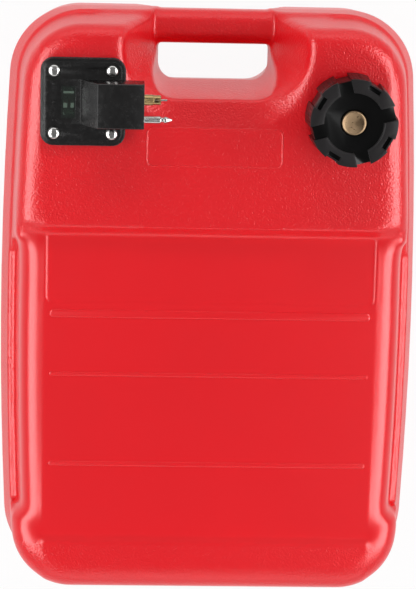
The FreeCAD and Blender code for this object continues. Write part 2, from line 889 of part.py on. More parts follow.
def window_slot(body):
    """Slot that the flag swings in, with a rebate for the lens."""
    half = S.window_width / 2
    rise = S.window_length / 2
    top = plate_top() + S.dial_height
    slot = Drawing(body, "slot_plan", level=top).rectangle(S.window_x - half, -rise, S.window_x + half, rise)
    pocket(body, slot, top + S.spigot_depth, "window_slot")
    edge = S.lens_border
    rebate = Drawing(body, "rebate_plan", level=top).rectangle(
        S.window_x - half - edge, -rise - edge, S.window_x + half + edge, rise + edge
    )
    pocket(body, rebate, S.lens_height + S.dial_height, "lens_rebate")


def fuel_ducts(body):
    """Bores for prong and pin, and the duct down to the pick-up tube."""
    prong = Drawing(body, "prong_bore", "YZ_Plane", S.housing_face_x).circle(S.prong_y, S.port_z, S.prong_shank)
    pocket(body, prong, S.prong_shank_length, "prong_bore_cut")
    cross = Drawing(body, "cross_duct", "YZ_Plane", S.housing_face_x).circle(S.prong_y, S.port_z, S.duct_radius)
    pocket(body, cross, S.housing_face_x - S.tube_x, "cross_duct_cut")
    pin = Drawing(body, "pin_bore", "YZ_Plane", S.housing_face_x).circle(S.pin_y, S.port_z, S.pin_shank)
    pocket(body, pin, S.pin_shank_length, "pin_bore_cut")
    down = Drawing(body, "down_duct", level=S.port_z).circle(S.tube_x, S.prong_y, S.duct_radius)
    pocket(body, down, S.port_z + S.spigot_depth, "down_duct_cut")
    seat = Drawing(body, "tube_seat", level=-S.spigot_depth).circle(S.tube_x, S.prong_y, S.tube_radius)
    pocket(body, seat, S.tube_seat, "tube_seat_cut", backwards=True)
    pilots = Drawing(body, "pilot_plan", level=-S.spigot_depth)
    for sign in (-1, 1):
        pilots.circle(S.bracket_screw_x, S.bracket_screw_y * sign, S.bracket_screw_radius)
    pocket(body, pilots, S.spigot_depth / 2, "pilot_holes", backwards=True)


def gauge_gasket():
    body = new_body("gauge_gasket", S.gauge_x, S.gauge_y, S.deck_z)
    drawing = plate_plan(body, "gasket_plan", NONE, -S.gasket_border)
    drawing.circle(NONE, NONE, S.aperture - S.spigot_gap + 0.2)
    for x, y in screw_places():
        drawing.circle(x, y, S.screw_hole)
    pad(body, drawing, S.gasket_height, "gasket_pad")
    return body


def gauge_lens():
    body = new_body("gauge_lens", S.gauge_x + S.window_x, S.gauge_y, plate_level() + plate_top() - S.lens_height)
    half = S.window_width / 2 + S.lens_border
    rise = S.window_length / 2 + S.lens_border
    pad(body, Drawing(body, "lens_plan").rectangle(-half, -rise, half, rise), S.lens_height, "lens_pad")
    return body


def screw_shape(radius, length, head, head_height):
    """Pan-head screw with a cross recess, head above z = 0, as a plain shape."""
    shank = Part.makeCylinder(radius, length, Vector(0, 0, -length))
    side = Part.makeCylinder(head, head_height / 2)
    crown = Part.makeCone(head, head * 0.7, head_height / 2, Vector(0, 0, head_height / 2))
    shape = shank.fuse(side).fuse(crown)
    for turn in (0, 90):
        slot = Part.makeBox(head, head / 5, head_height, Vector(-head / 2, -head / 10, head_height / 2))
        slot.rotate(Vector(0, 0, 0), Vector(0, 0, 1), turn)
        shape = shape.cut(slot)
    return shape.removeSplitter()


def group(label, shapes, x, y, z):
    """Several alike solids in one sub-part."""
    feature = doc.addObject("Part::Feature", label)
    feature.Shape = Part.makeCompound(shapes)
    place(feature, x, y, z)
    return feature


def moved(shape, x, y, z=0.0):
    copy = shape.copy()
    copy.translate(Vector(x, y, z))
    return copy


def plate_screws():
    screw = screw_shape(
        S.screw_radius.value, S.screw_length.value, S.screw_head.value, S.screw_head_height.value
    )
    shapes = [moved(screw, x.value, y.value) for x, y in screw_places()]
    return group("plate_screws", shapes, S.gauge_x, S.gauge_y, plate_level() + plate_top())


def screw_inserts():
    """Brass bushes in the deck, bored for the plate screws."""
    bore = S.screw_radius + S.running_gap
    outer = Part.makeCylinder(S.insert_radius.value, S.insert_length.value)
    bush = outer.cut(Part.makeCylinder(bore.value, S.insert_length.value))
    shapes = [moved(bush, x.value, y.value) for x, y in screw_places()]
    return group("screw_inserts", shapes, S.gauge_x, S.gauge_y, S.deck_z - S.insert_length)


# ---------------------------------------------------------------- connector metalwork

ALONG_X = Rotation(Vector(0, 1, 0), 90)


def port_body(label, y):
    """Body whose own Z axis lies along the port, origin on the housing's face."""
    at = (S.gauge_x + S.housing_face_x, S.gauge_y + y, plate_level() + S.port_z)
    return new_body(label, *at, turn=ALONG_X)


def collar_seat():
    """Where the needle's collar meets the bore's end, along the prong."""
    return S.prong_reach - S.prong_nose_length + 1


def fuel_prong():
    body = port_body("fuel_prong", S.prong_y)
    neck = S.prong_reach - S.prong_nose_length
    outline = Drawing(body, "prong_section", "XZ_Plane").polygon(
        (S.prong_bore, -S.prong_shank_length), (S.prong_shank, -S.prong_shank_length), (S.prong_shank, NONE),
        (S.prong_radius, NONE), (S.prong_radius, neck), (S.prong_nose, neck + 0.5),
        (S.prong_nose, S.prong_reach - 0.6), (S.prong_nose - 0.6, S.prong_reach), (S.prong_mouth, S.prong_reach),
        (S.prong_mouth, collar_seat()), (S.prong_bore, collar_seat()),
    )
    turned(body, outline, "prong_turning")
    groove = S.ring_wire * 2
    seat = Drawing(body, "ring_groove", "XZ_Plane").rectangle(
        S.prong_shank - S.ring_wire, -groove * 2, S.prong_shank + 1, -groove
    )
    turned(body, seat, "ring_groove_cut", "Groove")
    outlet = Drawing(body, "outlet", "YZ_Plane").circle(NONE, S.prong_reach - S.prong_outlet_back, S.prong_outlet)
    pocket(body, outlet, S.prong_radius * 2, "outlet_cut")
    return body


def prong_needle():
    body = port_body("prong_needle", S.prong_y)
    seat = collar_seat()
    rear = seat - S.needle_collar_height
    profile = Drawing(body, "needle_section", "XZ_Plane").polygon(
        (NONE, rear - S.needle_tail), (S.needle_radius, rear - S.needle_tail), (S.needle_radius, rear),
        (S.needle_collar, rear), (S.needle_collar, seat), (S.needle_radius, seat),
        (S.needle_radius, S.prong_reach + S.needle_reach - 0.4),
        (S.needle_radius - 0.4, S.prong_reach + S.needle_reach), (NONE, S.prong_reach + S.needle_reach),
    )
    turned(body, profile, "needle_turning")
    return body


def prong_nut():
    """Bored plug at the prong's rear that the spring stands on."""
    body = port_body("prong_nut", S.prong_y)
    drawing = Drawing(body, "nut_plan", level=-S.prong_shank_length)
    drawing.circle(NONE, NONE, S.prong_bore).circle(NONE, NONE, S.needle_radius + 0.5)
    pad(body, drawing, S.nut_height, "nut_pad")
    return body


def valve_spring():
    """Coil between the prong nut and the needle's collar."""
    wire = S.spring_wire.value
    low = S.nut_height - S.prong_shank_length
    span = collar_seat() - S.needle_collar_height - low
    rise = span.value - 2 * wire
    pitch = rise / S.spring_turns.value
    helix = Part.makeHelix(pitch, rise, S.spring_radius.value)
    square = ((-1, -1), (1, -1), (1, 1), (-1, 1), (-1, -1))
    corners = [Vector(S.spring_radius.value + wire * a, 0, wire * b) for a, b in square]
    coil = Part.Wire(helix.Edges).makePipeShell([Part.makePolygon(corners)], True, True)
    feature = doc.addObject("Part::Feature", "valve_spring")
    feature.Shape = coil
    start = S.gauge_x + S.housing_face_x + low + S.spring_wire
    place(feature, start, S.gauge_y + S.prong_y, plate_level() + S.port_z, turn=ALONG_X)
    return feature


def prong_ring():
    """Sealing ring in the prong's groove."""
    body = port_body("prong_o_ring", S.prong_y)
    wire = S.ring_wire / 2
    middle = -S.ring_wire * 3
    profile = Drawing(body, "o_ring_section", "XZ_Plane").rectangle(
        S.prong_shank - S.ring_wire, middle - wire, S.prong_shank, middle + wire
    )
    turned(body, profile, "o_ring_turning")
    return body


def locating_pin():
    body = port_body("locating_pin", S.pin_y)
    neck = S.pin_reach + S.pin_neck_length
    tip = neck + S.pin_tip_length
    profile = Drawing(body, "pin_section", "XZ_Plane").polygon(
        (NONE, -S.pin_shank_length), (S.pin_shank, -S.pin_shank_length), (S.pin_shank, NONE),
        (S.pin_radius, NONE), (S.pin_radius, S.pin_reach - 0.5), (S.pin_radius - 0.5, S.pin_reach),
        (S.pin_neck, S.pin_reach), (S.pin_neck, neck),
        (S.pin_radius - 0.4, neck + 0.4), (S.pin_radius - 0.4, neck + 2), (S.pin_neck / 4, tip), (NONE, tip),
    )
    turned(body, profile, "pin_turning")
    return body


# ---------------------------------------------------------------- pick-up and float


def spigot_foot():
    return plate_level() - S.spigot_depth


def pickup_tube():
    body = new_body("pickup_tube", S.gauge_x + S.tube_x, S.gauge_y + S.prong_y)
    low = S.wall + S.tube_floor_gap
    drawing = Drawing(body, "tube_plan", level=low)
    drawing.circle(NONE, NONE, S.tube_radius).circle(NONE, NONE, S.tube_radius - S.tube_wall)
    pad(body, drawing, spigot_foot() + S.tube_seat - low, "tube_pad")
    return body


def pickup_strainer():
    """Cup-shaped screen on the tube's foot."""
    body = new_body("pickup_strainer", S.gauge_x + S.tube_x, S.gauge_y + S.prong_y, S.wall + S.tube_floor_gap / 2)
    inner = S.strainer_radius - S.strainer_wall
    long = S.strainer_length
    profile = Drawing(body, "strainer_section", "XZ_Plane").polygon(
        (NONE, NONE), (S.strainer_radius, NONE), (S.strainer_radius, long - 3), (S.tube_radius + 1.2, long),
        (S.tube_radius, long), (S.tube_radius, long - 4), (inner, long - 4), (inner, S.strainer_wall),
        (NONE, S.strainer_wall),
    )
    turned(body, profile, "strainer_turning")
    return body


def gauge_bracket():
    """Steel disc on the spigot's foot with two ears bent down for the pivot."""
    body = new_body("gauge_bracket", S.gauge_x, S.gauge_y, spigot_foot() - S.bracket_height)
    disc = Drawing(body, "disc_plan").circle(NONE, NONE, S.bracket_radius)
    pad(body, disc, S.bracket_height, "disc")
    pivot = S.spigot_depth - S.pivot_drop + S.bracket_height
    half = S.ear_width / 2
    inner = S.ear_gap / 2
    for name, start in (("left", S.window_x - inner - S.ear_height), ("right", S.window_x + inner)):
        ear = Drawing(body, f"{name}_ear", "YZ_Plane", start).rectangle(-half, pivot - half, half, NONE)
        pad(body, ear, S.ear_height, f"{name}_ear_pad")
    bore = Drawing(body, "pivot_bore", "YZ_Plane", S.window_x).circle(NONE, pivot, S.pivot_radius)
    pocket(body, bore, S.ear_gap * 2, "pivot_bore_cut", both_ways=True)
    rise = half + 2
    reach = S.window_width / 2
    slot = Drawing(body, "flag_slot", level=S.bracket_height).rectangle(
        S.window_x - reach, -rise, S.window_x + reach, rise
    )
    pocket(body, slot, S.bracket_height, "flag_slot_cut")
    holes = Drawing(body, "bracket_holes", level=S.bracket_height).circle(S.tube_x, S.prong_y, S.tube_radius)
    for sign in (-1, 1):
        holes.circle(S.bracket_screw_x, S.bracket_screw_y * sign, S.bracket_screw_radius)
    pocket(body, holes, S.bracket_height, "bracket_holes_cut")
    return body


def bracket_screws():
    """Two small screws, heads down, that hold the bracket to the spigot."""
    radius = S.bracket_screw_radius.value
    screw = screw_shape(radius, S.spigot_depth.value / 2, radius * 2, radius * 1.2)
    screw.rotate(Vector(0, 0, 0), Vector(1, 0, 0), 180)
    shapes = [moved(screw, S.bracket_screw_x.value, S.bracket_screw_y.value * sign) for sign in (-1, 1)]
    return group("bracket_screws", shapes, S.gauge_x, S.gauge_y, spigot_foot() - S.bracket_height)


def pivot_at():
    return S.gauge_x + S.window_x, S.gauge_y, plate_level() - S.pivot_drop


def pivot_pin():
    body = new_body("pivot_pin", *pivot_at(), turn=ALONG_X)
    length = S.ear_gap + S.ear_height * 2
    drawing = Drawing(body, "pivot_plan").circle(NONE, NONE, S.pivot_radius)
    pad(body, drawing, length + 1, "pivot_pad", both_ways=True)
    return body


def level_indicator():
    """Hub on the pivot with a stem up to a curved flag behind the window."""
    hub_length = S.hub_length.value
    hub = Part.makeCylinder(S.hub_radius.value, hub_length, Vector(-hub_length / 2, 0, 0), Vector(1, 0, 0))
    inner = S.flag_radius.value - S.flag_thickness.value
    stem = Part.makeCylinder(S.stem_radius.value, inner + S.flag_thickness.value / 2)
    half = S.window_width.value / 2 - 0.8
    arc = 2 * S.flag_half_angle.value
    across = Vector(1, 0, 0)
    outer_arc = Part.makeCylinder(S.flag_radius.value, 2 * half, Vector(-half, 0, 0), across)
    inner_arc = Part.makeCylinder(inner, 2 * half, Vector(-half, 0, 0), across)
    width = 2 * S.flag_radius.value * math.sin(math.radians(arc / 2))
    column = Part.makeBox(2 * half, width, S.flag_radius.value, Vector(-half, -width / 2, 0))
    flag = outer_arc.cut(inner_arc).common(column)
    bore = Part.makeCylinder((S.pivot_radius + S.running_gap).value, S.hub_length.value * 2,
                             Vector(-S.hub_length.value, 0, 0), across)
    shape = hub.fuse(stem).fuse(flag)
    shape.rotate(Vector(0, 0, 0), across, S.flag_rest_angle.value)
    socket = arm_wire(S.arm_radius.value)
    feature = doc.addObject("Part::Feature", "level_indicator")
    feature.Shape = shape.cut(bore).cut(socket).removeSplitter()
    place(feature, *pivot_at())
    return feature


def arm_direction():
    """Unit vector from the pivot to the float with the tank empty."""
    angle = math.radians(S.arm_rest_angle.value)
    return Vector(0, -math.cos(angle), -math.sin(angle))


def arm_wire(radius):
    """Bent wire from the hub's bore out to the float's axle."""
    along = arm_direction()
    across = Vector(1, 0, 0)
    bend = S.arm_bend.value
    start = along * (S.pivot_radius.value + 0.8)
    corner = along * S.arm_length.value
    before = corner - along * bend
    after = corner + across * bend
    middle = before + across * bend - (across - along) * (bend * math.sqrt(0.5))
    end = corner + across * S.arm_foot.value
    path = Part.Wire([
        Part.LineSegment(start, before).toShape(),
        Part.Arc(before, middle, after).toShape(),
        Part.LineSegment(after, end).toShape(),
    ])
    section = Part.Wire(Part.Circle(start, along, radius).toShape())
    return path.makePipeShell([section], True, False)


def float_arm():
    feature = doc.addObject("Part::Feature", "float_arm")
    feature.Shape = arm_wire(S.arm_radius.value)
    place(feature, *pivot_at())
    return feature


def on_axle(label, radius, start, length):
    """Bored cylinder on the arm's foot."""
    along = arm_direction() * S.arm_length.value
    x, y, z = pivot_at()
    body = new_body(label, x + start, y + along.y, z + along.z, turn=ALONG_X)
    drawing = Drawing(body, f"{label}_plan").circle(NONE, NONE, radius).circle(NONE, NONE, S.arm_radius)
    pad(body, drawing, length, f"{label}_pad")
    return body


def float_body():
    return on_axle("float", S.float_radius, S.float_start, S.float_length)


def float_clip():
    return on_axle("float_clip", S.clip_radius, S.float_start + S.float_length, S.clip_height)


MAKERS = (
    tank_shell, filler_cap, cap_seal, vent_seal, vent_screw, gauge_plate, gauge_gasket, gauge_lens,
    plate_screws, screw_inserts, fuel_prong, prong_needle, prong_nut, valve_spring, prong_ring,
    locating_pin, pickup_tube, pickup_strainer, gauge_bracket, bracket_screws, pivot_pin,
    level_indicator, float_arm, float_body, float_clip,
)


def check_and_write(parts):
    doc.recompute()
    for feature in doc.Objects:
        if "Invalid" in feature.State or "Error" in feature.State:
            raise RuntimeError(f"{feature.Name} failed: {feature.State}")
    for part in parts:
        if part.Shape.isNull() or not part.Shape.isValid():
            raise RuntimeError(f"{part.Label} has no valid shape")
    os.makedirs("parts", exist_ok=True)
    for part in parts:
        part.Shape.exportStep(f"parts/{part.Label}.step")
        print(f"{part.Label}: {len(part.Shape.Solids)} solid(s), {part.Shape.Volume / 1000:.2f} cm3")


check_and_write([make() for make in MAKERS])
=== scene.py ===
import json
import math

import bmesh
import bpy
from mathutils import Matrix, Vector

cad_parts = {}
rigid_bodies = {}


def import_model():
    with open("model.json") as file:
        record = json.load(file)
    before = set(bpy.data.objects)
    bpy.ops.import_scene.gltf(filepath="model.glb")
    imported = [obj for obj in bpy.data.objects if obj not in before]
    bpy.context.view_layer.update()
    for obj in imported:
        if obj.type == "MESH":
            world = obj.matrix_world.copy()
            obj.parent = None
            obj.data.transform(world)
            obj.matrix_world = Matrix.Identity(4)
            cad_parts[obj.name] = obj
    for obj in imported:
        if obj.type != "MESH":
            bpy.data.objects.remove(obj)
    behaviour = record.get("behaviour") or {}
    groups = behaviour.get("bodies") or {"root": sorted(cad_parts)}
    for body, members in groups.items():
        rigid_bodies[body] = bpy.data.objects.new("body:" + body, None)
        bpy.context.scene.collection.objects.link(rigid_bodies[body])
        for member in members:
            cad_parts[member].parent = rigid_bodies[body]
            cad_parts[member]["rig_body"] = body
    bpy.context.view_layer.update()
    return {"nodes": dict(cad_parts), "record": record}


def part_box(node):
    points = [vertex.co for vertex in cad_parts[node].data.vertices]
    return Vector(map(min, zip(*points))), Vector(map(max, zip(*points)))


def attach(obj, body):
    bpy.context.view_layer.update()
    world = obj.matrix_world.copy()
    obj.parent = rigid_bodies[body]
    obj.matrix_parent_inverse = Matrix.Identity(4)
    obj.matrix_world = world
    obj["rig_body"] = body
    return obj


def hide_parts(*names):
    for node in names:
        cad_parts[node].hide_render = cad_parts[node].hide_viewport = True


# Looks of the portable outboard fuel tank: its skin, fittings, materials,
# lights and camera. Lengths are in metres and +Z points out of the face that
# carries the filler cap and the gauge.

# camera, fitted to the photograph: picture height and focal length in pixels,
# sensor in millimetres, turns in degrees
PHOTO_HEIGHT = 589
FOCAL_PIXELS = 2275.3
SENSOR = 36.0
CAMERA_DISTANCE = 2.0
CAMERA_TARGET = Vector((0.0002, 0.0036, 0.100))
CAMERA_PITCH = 12.0
CAMERA_YAW = 2.5
CAMERA_ROLL = 1.35

# lamps that light the surfaces: place, width, length, power in watts
LAMPS = {
    "left_softbox": ((-1.25, 0.05, 0.75), 0.35, 1.5, 9.5),
    "right_softbox": ((1.25, 0.05, 0.75), 0.35, 1.5, 9.5),
    "head_softbox": ((0.0, 1.35, 0.75), 1.2, 0.3, 7.2),
    "foot_softbox": ((0.0, -1.30, 1.10), 1.2, 0.3, 9.5),
}
# wide panels that show in the gloss only: place, width, length, power in watts
REFLECTORS = {
    "left_reflector": ((-0.904, 0.0, 0.858), 0.77, 1.7, 38.0),
    "right_reflector": ((0.904, 0.0, 0.858), 0.77, 1.7, 45.0),
    "head_reflector": ((0.0, 1.35, 0.42), 2.0, 0.6, 8.0),
    "foot_reflector": ((0.0, -1.25, 0.50), 1.6, 0.5, 5.0),
}
# a lamp's length lies along Y, unless the lamp shines along Y by more than this share
ALONG_Y = 0.6

# even light from all round, and the floor: half its width, its colour, and how
# much of its own white it shows
AMBIENT = 0.32
FLOOR_REACH = 30.0
FLOOR_COLOUR = (0.86, 0.86, 0.86)
FLOOR_LIFT = 0.93

# tank skin: grid of the remesh, smoothing passes, and how much of them each
# zone takes
VOXEL = 0.0015
ROUNDING_STEPS = 160
SMOOTHING_FACTOR = 0.5
SHOULDER_SHARE = 0.62
SIDE_SHARE = 1.0
BODY_SHARE = 0.0375
NECK_SHARE = 0.005

# the shell's own sizes: filler neck, gauge opening, wall, and the levels of the
# ledge round the hump and of the face panel
NECK_RADIUS = 0.029
NECK_BORE = 0.023
APERTURE = 0.0225
WALL = 0.004
LEDGE = 0.112
PANEL_LEVEL = 0.161

# zone of the neck: how far it reaches round it and starts above the deck
NECK_AROUND = 0.005
NECK_FOOT = 0.0005

# bottom rims of neck and gauge opening, where the inside is cut loose
RIM_REACH = 5 * VOXEL
RIM_HEIGHT = 1.5 * VOXEL
FACING_DOWN = -0.3

# limits of the face panel, which has next to no grain, and width of their fades
PANEL_HALF = 0.166
PANEL_HEAD = 0.0675
PANEL_FOOT = -0.204
PANEL_FLOOR = 0.116
PANEL_FADE_ACROSS = 0.004
PANEL_FADE_ALONG = 0.003
PANEL_FOOT_FADE = 0.004

# broad roundings along the face's two long sides, which are rounded most: where
# they start beside the panel and beside the deck, and from which height on
SIDE_START = 0.1425
DECK_SIDE_START = 0.148
DECK_SIDE_BLEND = (0.120, 0.140)
SIDE_HEIGHT_BLEND = (0.122, 0.135)
SIDE_FADE_IN = 0.002
SIDE_FADE_OUT = 0.003

# the hump's step stands nearer the head than in the CAD model: how far it moves,
# where it lies along the tank, and how soft it is
STEP_SHIFT = 0.0085
STEP_SIDE_SHIFT = 0.003
STEP_LOW = 0.046
STEP_HIGH = 0.074
STEP_FADE = 0.024
STEP_RISE = 0.010
STEP_SIDE_BLEND = (SIDE_START - 0.004, SIDE_START + 0.024)
STEP_SOFTNESS = 0.17
STEP_LOW_FADE = 0.004
STEP_HIGH_FADE = 0.006
STEP_HEIGHT_BLEND = (PANEL_LEVEL - 0.006, PANEL_LEVEL - 0.002)

# faces that are drawn flat: how near their level a point has to lie
PANEL_CATCH = 0.0035
DECK_CATCH = 0.0012

# label recess and ribs of the panel, frame on the deck
LABEL_HALF = 0.1415
LABEL_LOW = 0.0065
LABEL_HIGH = PANEL_HEAD + 0.004
LABEL_CORNER = 0.007
LABEL_DEPTH = 0.0013
LABEL_SLOPE = 0.0035
# ribs: place along the tank and width of each; inset and height up their flank
RIBS = {"wide_rib": (-0.0015, 0.0066), "middle_rib": (-0.0545, 0.0034), "low_rib": (-0.134, 0.0040)}
RIB_HALF = 0.137
RIB_ROUNDNESS = 0.999
RIB_FLANK = ((-0.0004, -0.0004), (0.0, 0.0003), (0.0005, 0.0008), (0.0012, 0.001))
DECK_FRAME = (-0.0565, 0.128, 0.0565, 0.160)
DECK_FRAME_CORNER = 0.005
DECK_FRAME_LINE = 0.0008
DECK_FRAME_SINK = 0.3 * DECK_FRAME_LINE
DECK_FIELD_HALF = DECK_FRAME[2] + 0.003
DECK_FIELD_HEAD = DECK_FRAME[3] - 0.002

# rounded shoulders beside the hand bay
SHOULDER_INNER_BLEND = (0.051, 0.057)
SHOULDER_REACH = 0.074
SHOULDER_HEAD_REACH = 0.098
SHOULDER_WIDENING = (0.190, 0.215)
SHOULDER_START = 0.150
SHOULDER_LOW = 0.100
SHOULDER_FADE = 0.006
SHOULDER_START_FADE = 0.010
SHOULDER_LOW_FADE = 0.015

# seam left by the two halves of the mould
PARTING = 0.088
SEAM_RADIUS = 0.0007
SEAM_SINK = 0.0012
SEAM_STEP = 0.004
WELD = 0.000005

# neck thread
THREAD_HEIGHT = 0.0013
THREAD_WIDTH = 0.0022
THREAD_PITCH = 0.005
THREAD_TURNS = 2.5
THREAD_TOP = 0.004
THREAD_ROOT = 0.0006
THREAD_CREST_SHARE = 0.4
THREAD_END_WIDTH = 0.4
THREAD_FADE = (-0.01, 0.12)
THREAD_STEPS = 64

# cap: inner radius and depth of the crown, and depth at which the side starts
CROWN_INNER = 0.0240
CROWN_DEPTH = 0.0024
CROWN_FADE = 0.0008
CAP_RIM = 0.0060
CAP_RIM_FADE = 0.0010

# screws of the gauge plate
SCREW_HEAD = 0.0049
SCREW_HEAD_HEIGHT = 0.003
SCREW_EDGE = 0.0007
SCREW_SHANK = 0.0024
SCREW_SEAT = SCREW_HEAD - 0.0001
SCREW_TIP = 0.0002
SCREW_POINT = 0.001
DOME_STEPS = 10
DOME_ANGLE = math.pi / 2 * 9 / 9.3
CROSS_LENGTH = 0.0048
CROSS_WIDTH = 0.0013
CROSS_DEPTH = 0.0017
SCREW_STEPS = 48
SCREW_FIRST_TURN = 20
SCREW_NEXT_TURN = 37

# fittings: width of the rounding on their edges, angle from which a corner is
# rounded, angle from which it is shaded as an edge, and angle below which faces
# count as one flat face
EDGE_WIDTHS = {
    "filler_cap": 0.0006,
    "gauge_plate": 0.0005,
    "gauge_gasket": 0.0003,
    "vent_screw": 0.0002,
    "fuel_prong": 0.0002,
    "locating_pin": 0.0002,
}
ROUNDED_ANGLE = math.radians(32)
EDGE_ANGLE = math.radians(40)
FLAT_ANGLE = math.radians(1)

# numbers on the gauge's dial, in place of the CAD model's plain marks
NUMBERS = {"1": 0.015, "½": 0.0, "0": -0.015}
NUMBER_SIZE = 0.0062
NUMBER_X = -0.0246
NUMBER_HEIGHT = 0.0004
MARK_HEIGHT = 0.0004

# part of a noise's range that most of it lies in
NOISE_SPAN = (0.3, 0.7)

# red plastic: colour; pebbles and grit per metre, their depth and their share
# on the panel; waves per metre and their depth
RED = (0.74, 0.004, 0.010)
PEBBLES = 560.0
GRIT = 800.0
GRAIN_DEPTH = 0.00024
GRAIN_ON_PANEL = 0.05
WAVES = 70.0
WAVE_DEPTH = 0.00002

# filler cap: charcoal crown, darker and smoother disc, and the crown's share at
# the side
CROWN_COLOUR = (0.015, 0.0135, 0.014)
DISC_COLOUR = (0.002, 0.002, 0.002)
CROWN_ROUGHNESS = 0.36
DISC_ROUGHNESS = 0.22
CAP_SIDE_SHARE = 0.6

# brass vent screw: colour and spacing of its turning marks
TURNED_BRASS = (0.155, 0.105, 0.062)
RING_SPACING = 0.0005

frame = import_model()
nodes = frame["nodes"]


# ---------------------------------------------------------------- materials


class Finish:
    """A Principled material whose colour, roughness and relief come from nodes.

    The colour and roughness given first hold where the nodes are left out."""

    def __init__(self, name, colour, roughness, metallic=0.0, gloss=0.5):
        self.material = bpy.data.materials.new(name)
        self.material.use_nodes = True
        self.tree = self.material.node_tree
        self.shader = self.tree.nodes["Principled BSDF"]
        self.shader.inputs["Base Color"].default_value = (*colour, 1)
        self.shader.inputs["Roughness"].default_value = roughness
        self.shader.inputs["Metallic"].default_value = metallic
        self.shader.inputs["Specular IOR Level"].default_value = gloss
        self.place = self.tree.nodes.new("ShaderNodeTexCoord").outputs["Object"]
        self.normal = None

    def node(self, kind, **inputs):
        made = self.tree.nodes.new(kind)
        for key, value in inputs.items():
            self.feed(made, key, value)
        return made

    def feed(self, node, key, value):
        socket = node.inputs[key.replace("_", " ")] if isinstance(key, str) else node.inputs[key]
        if isinstance(value, bpy.types.NodeSocket):
            self.tree.links.new(value, socket)
        else:
            socket.default_value = value

    def maths(self, work, first, second=0.0):
        made = self.tree.nodes.new("ShaderNodeMath")
        made.operation = work
        self.feed(made, 0, first)
        self.feed(made, 1, second)
        return made.outputs[0]

    def noise(self, scale, detail, stretch=None):
        place = self.place
        if stretch:
            mapping = self.node("ShaderNodeMapping", Vector=place, Scale=stretch)
            place = mapping.outputs[0]
        return self.node("ShaderNodeTexNoise", Vector=place, Scale=scale, Detail=detail).outputs["Fac"]

    def cells(self, scale):
        made = self.node("ShaderNodeTexVoronoi", Vector=self.place, Scale=scale)
        made.feature = "SMOOTH_F1"
        return made.outputs["Distance"]

    def ramp(self, value, low, high, start=0.0, end=1.0):
        bounds = {"From_Min": low, "From_Max": high, "To_Min": start, "To_Max": end}
        return self.node("ShaderNodeMapRange", Value=value, **bounds).outputs[0]

    def coordinates(self):
        return self.node("ShaderNodeSeparateXYZ", Vector=self.place).outputs

    def radius_from(self, centre):
        """Distance from the upright axis through the centre."""
        x, y, _ = self.coordinates()
        across = self.maths("POWER", self.maths("SUBTRACT", x, centre.x), 2.0)
        along = self.maths("POWER", self.maths("SUBTRACT", y, centre.y), 2.0)
        return self.maths("SQRT", self.maths("ADD", across, along))

    def tint(self, factor, first, second):
        """Colours the surface from the first colour at 0 to the second at 1."""
        made = self.tree.nodes.new("ShaderNodeMix")
        made.data_type = "RGBA"
        self.feed(made, 0, factor)
        self.feed(made, 6, (*first, 1))
        self.feed(made, 7, (*second, 1))
        self.tree.links.new(made.outputs[2], self.shader.inputs["Base Color"])

    def mottle(self, noise, colour, darkest, lightest):
        """Lets the colour vary between two shares of itself with a noise."""
        self.tint(noise, scaled(colour, darkest), scaled(colour, lightest))

    def roughen(self, noise, smoothest, roughest):
        """Lets the roughness vary between two values with a noise."""
        self.roughness_from(self.ramp(noise, *NOISE_SPAN, smoothest, roughest))

    def roughness_from(self, value):
        self.tree.links.new(value, self.shader.inputs["Roughness"])

    def relief(self, height, depth):
        """Adds a relief on top of those that are there."""
        made = self.node("ShaderNodeBump", Height=height, Distance=depth, Strength=1.0)
        if self.normal:
            self.tree.links.new(self.normal, made.inputs["Normal"])
        self.normal = made.outputs[0]
        self.tree.links.new(self.normal, self.shader.inputs["Normal"])


def scaled(colour, factor):
    return tuple(channel * factor for channel in colour)


def panel_mask(finish):
    """1 on the face panel, 0 elsewhere, with a soft border."""
    x, y, z = finish.coordinates()
    across = finish.ramp(finish.maths("ABSOLUTE", x), PANEL_HALF + PANEL_FADE_ACROSS, PANEL_HALF)
    head = finish.ramp(y, PANEL_HEAD + PANEL_FADE_ALONG, PANEL_HEAD)
    foot = finish.ramp(y, PANEL_FOOT - PANEL_FADE_ALONG, PANEL_FOOT)
    high = finish.ramp(z, PANEL_FLOOR, PANEL_FLOOR + PANEL_FADE_ACROSS)
    above = finish.maths("MULTIPLY", across, head)
    below = finish.maths("MULTIPLY", foot, high)
    return finish.maths("MULTIPLY", above, below)


def red_polyethylene():
    """Blow-moulded polyethylene with a pebbled grain, nearly smooth on the face panel."""
    finish = Finish("red_polyethylene_finish", RED, roughness=0.3, gloss=0.38)
    finish.mottle(finish.noise(scale=9.0, detail=3.0), RED, darkest=0.95, lightest=1.05)
    finish.roughen(finish.noise(scale=60.0, detail=2.0), smoothest=0.278, roughest=0.288)
    grained = finish.ramp(panel_mask(finish), 0.0, 1.0, start=1.0, end=GRAIN_ON_PANEL)
    pebble = finish.maths("ADD", finish.cells(PEBBLES), finish.noise(GRIT, detail=1.0))
    finish.relief(finish.maths("MULTIPLY", pebble, grained), GRAIN_DEPTH)
    finish.relief(finish.noise(WAVES, detail=2.0), WAVE_DEPTH)
    return finish.material


def moulded(name, colour, roughness, grain=900.0, depth=0.00006, gloss=0.3):
    """Moulded plastic: fine grain and faint uneven gloss."""
    finish = Finish(name, colour, roughness, gloss=gloss)
    finish.mottle(finish.noise(scale=120.0, detail=4.0), colour, darkest=0.8, lightest=1.25)
    finish.roughen(finish.noise(scale=220.0, detail=3.0), roughness - 0.05, roughness + 0.06)
    finish.relief(finish.noise(grain, detail=2.0), depth)
    return finish.material


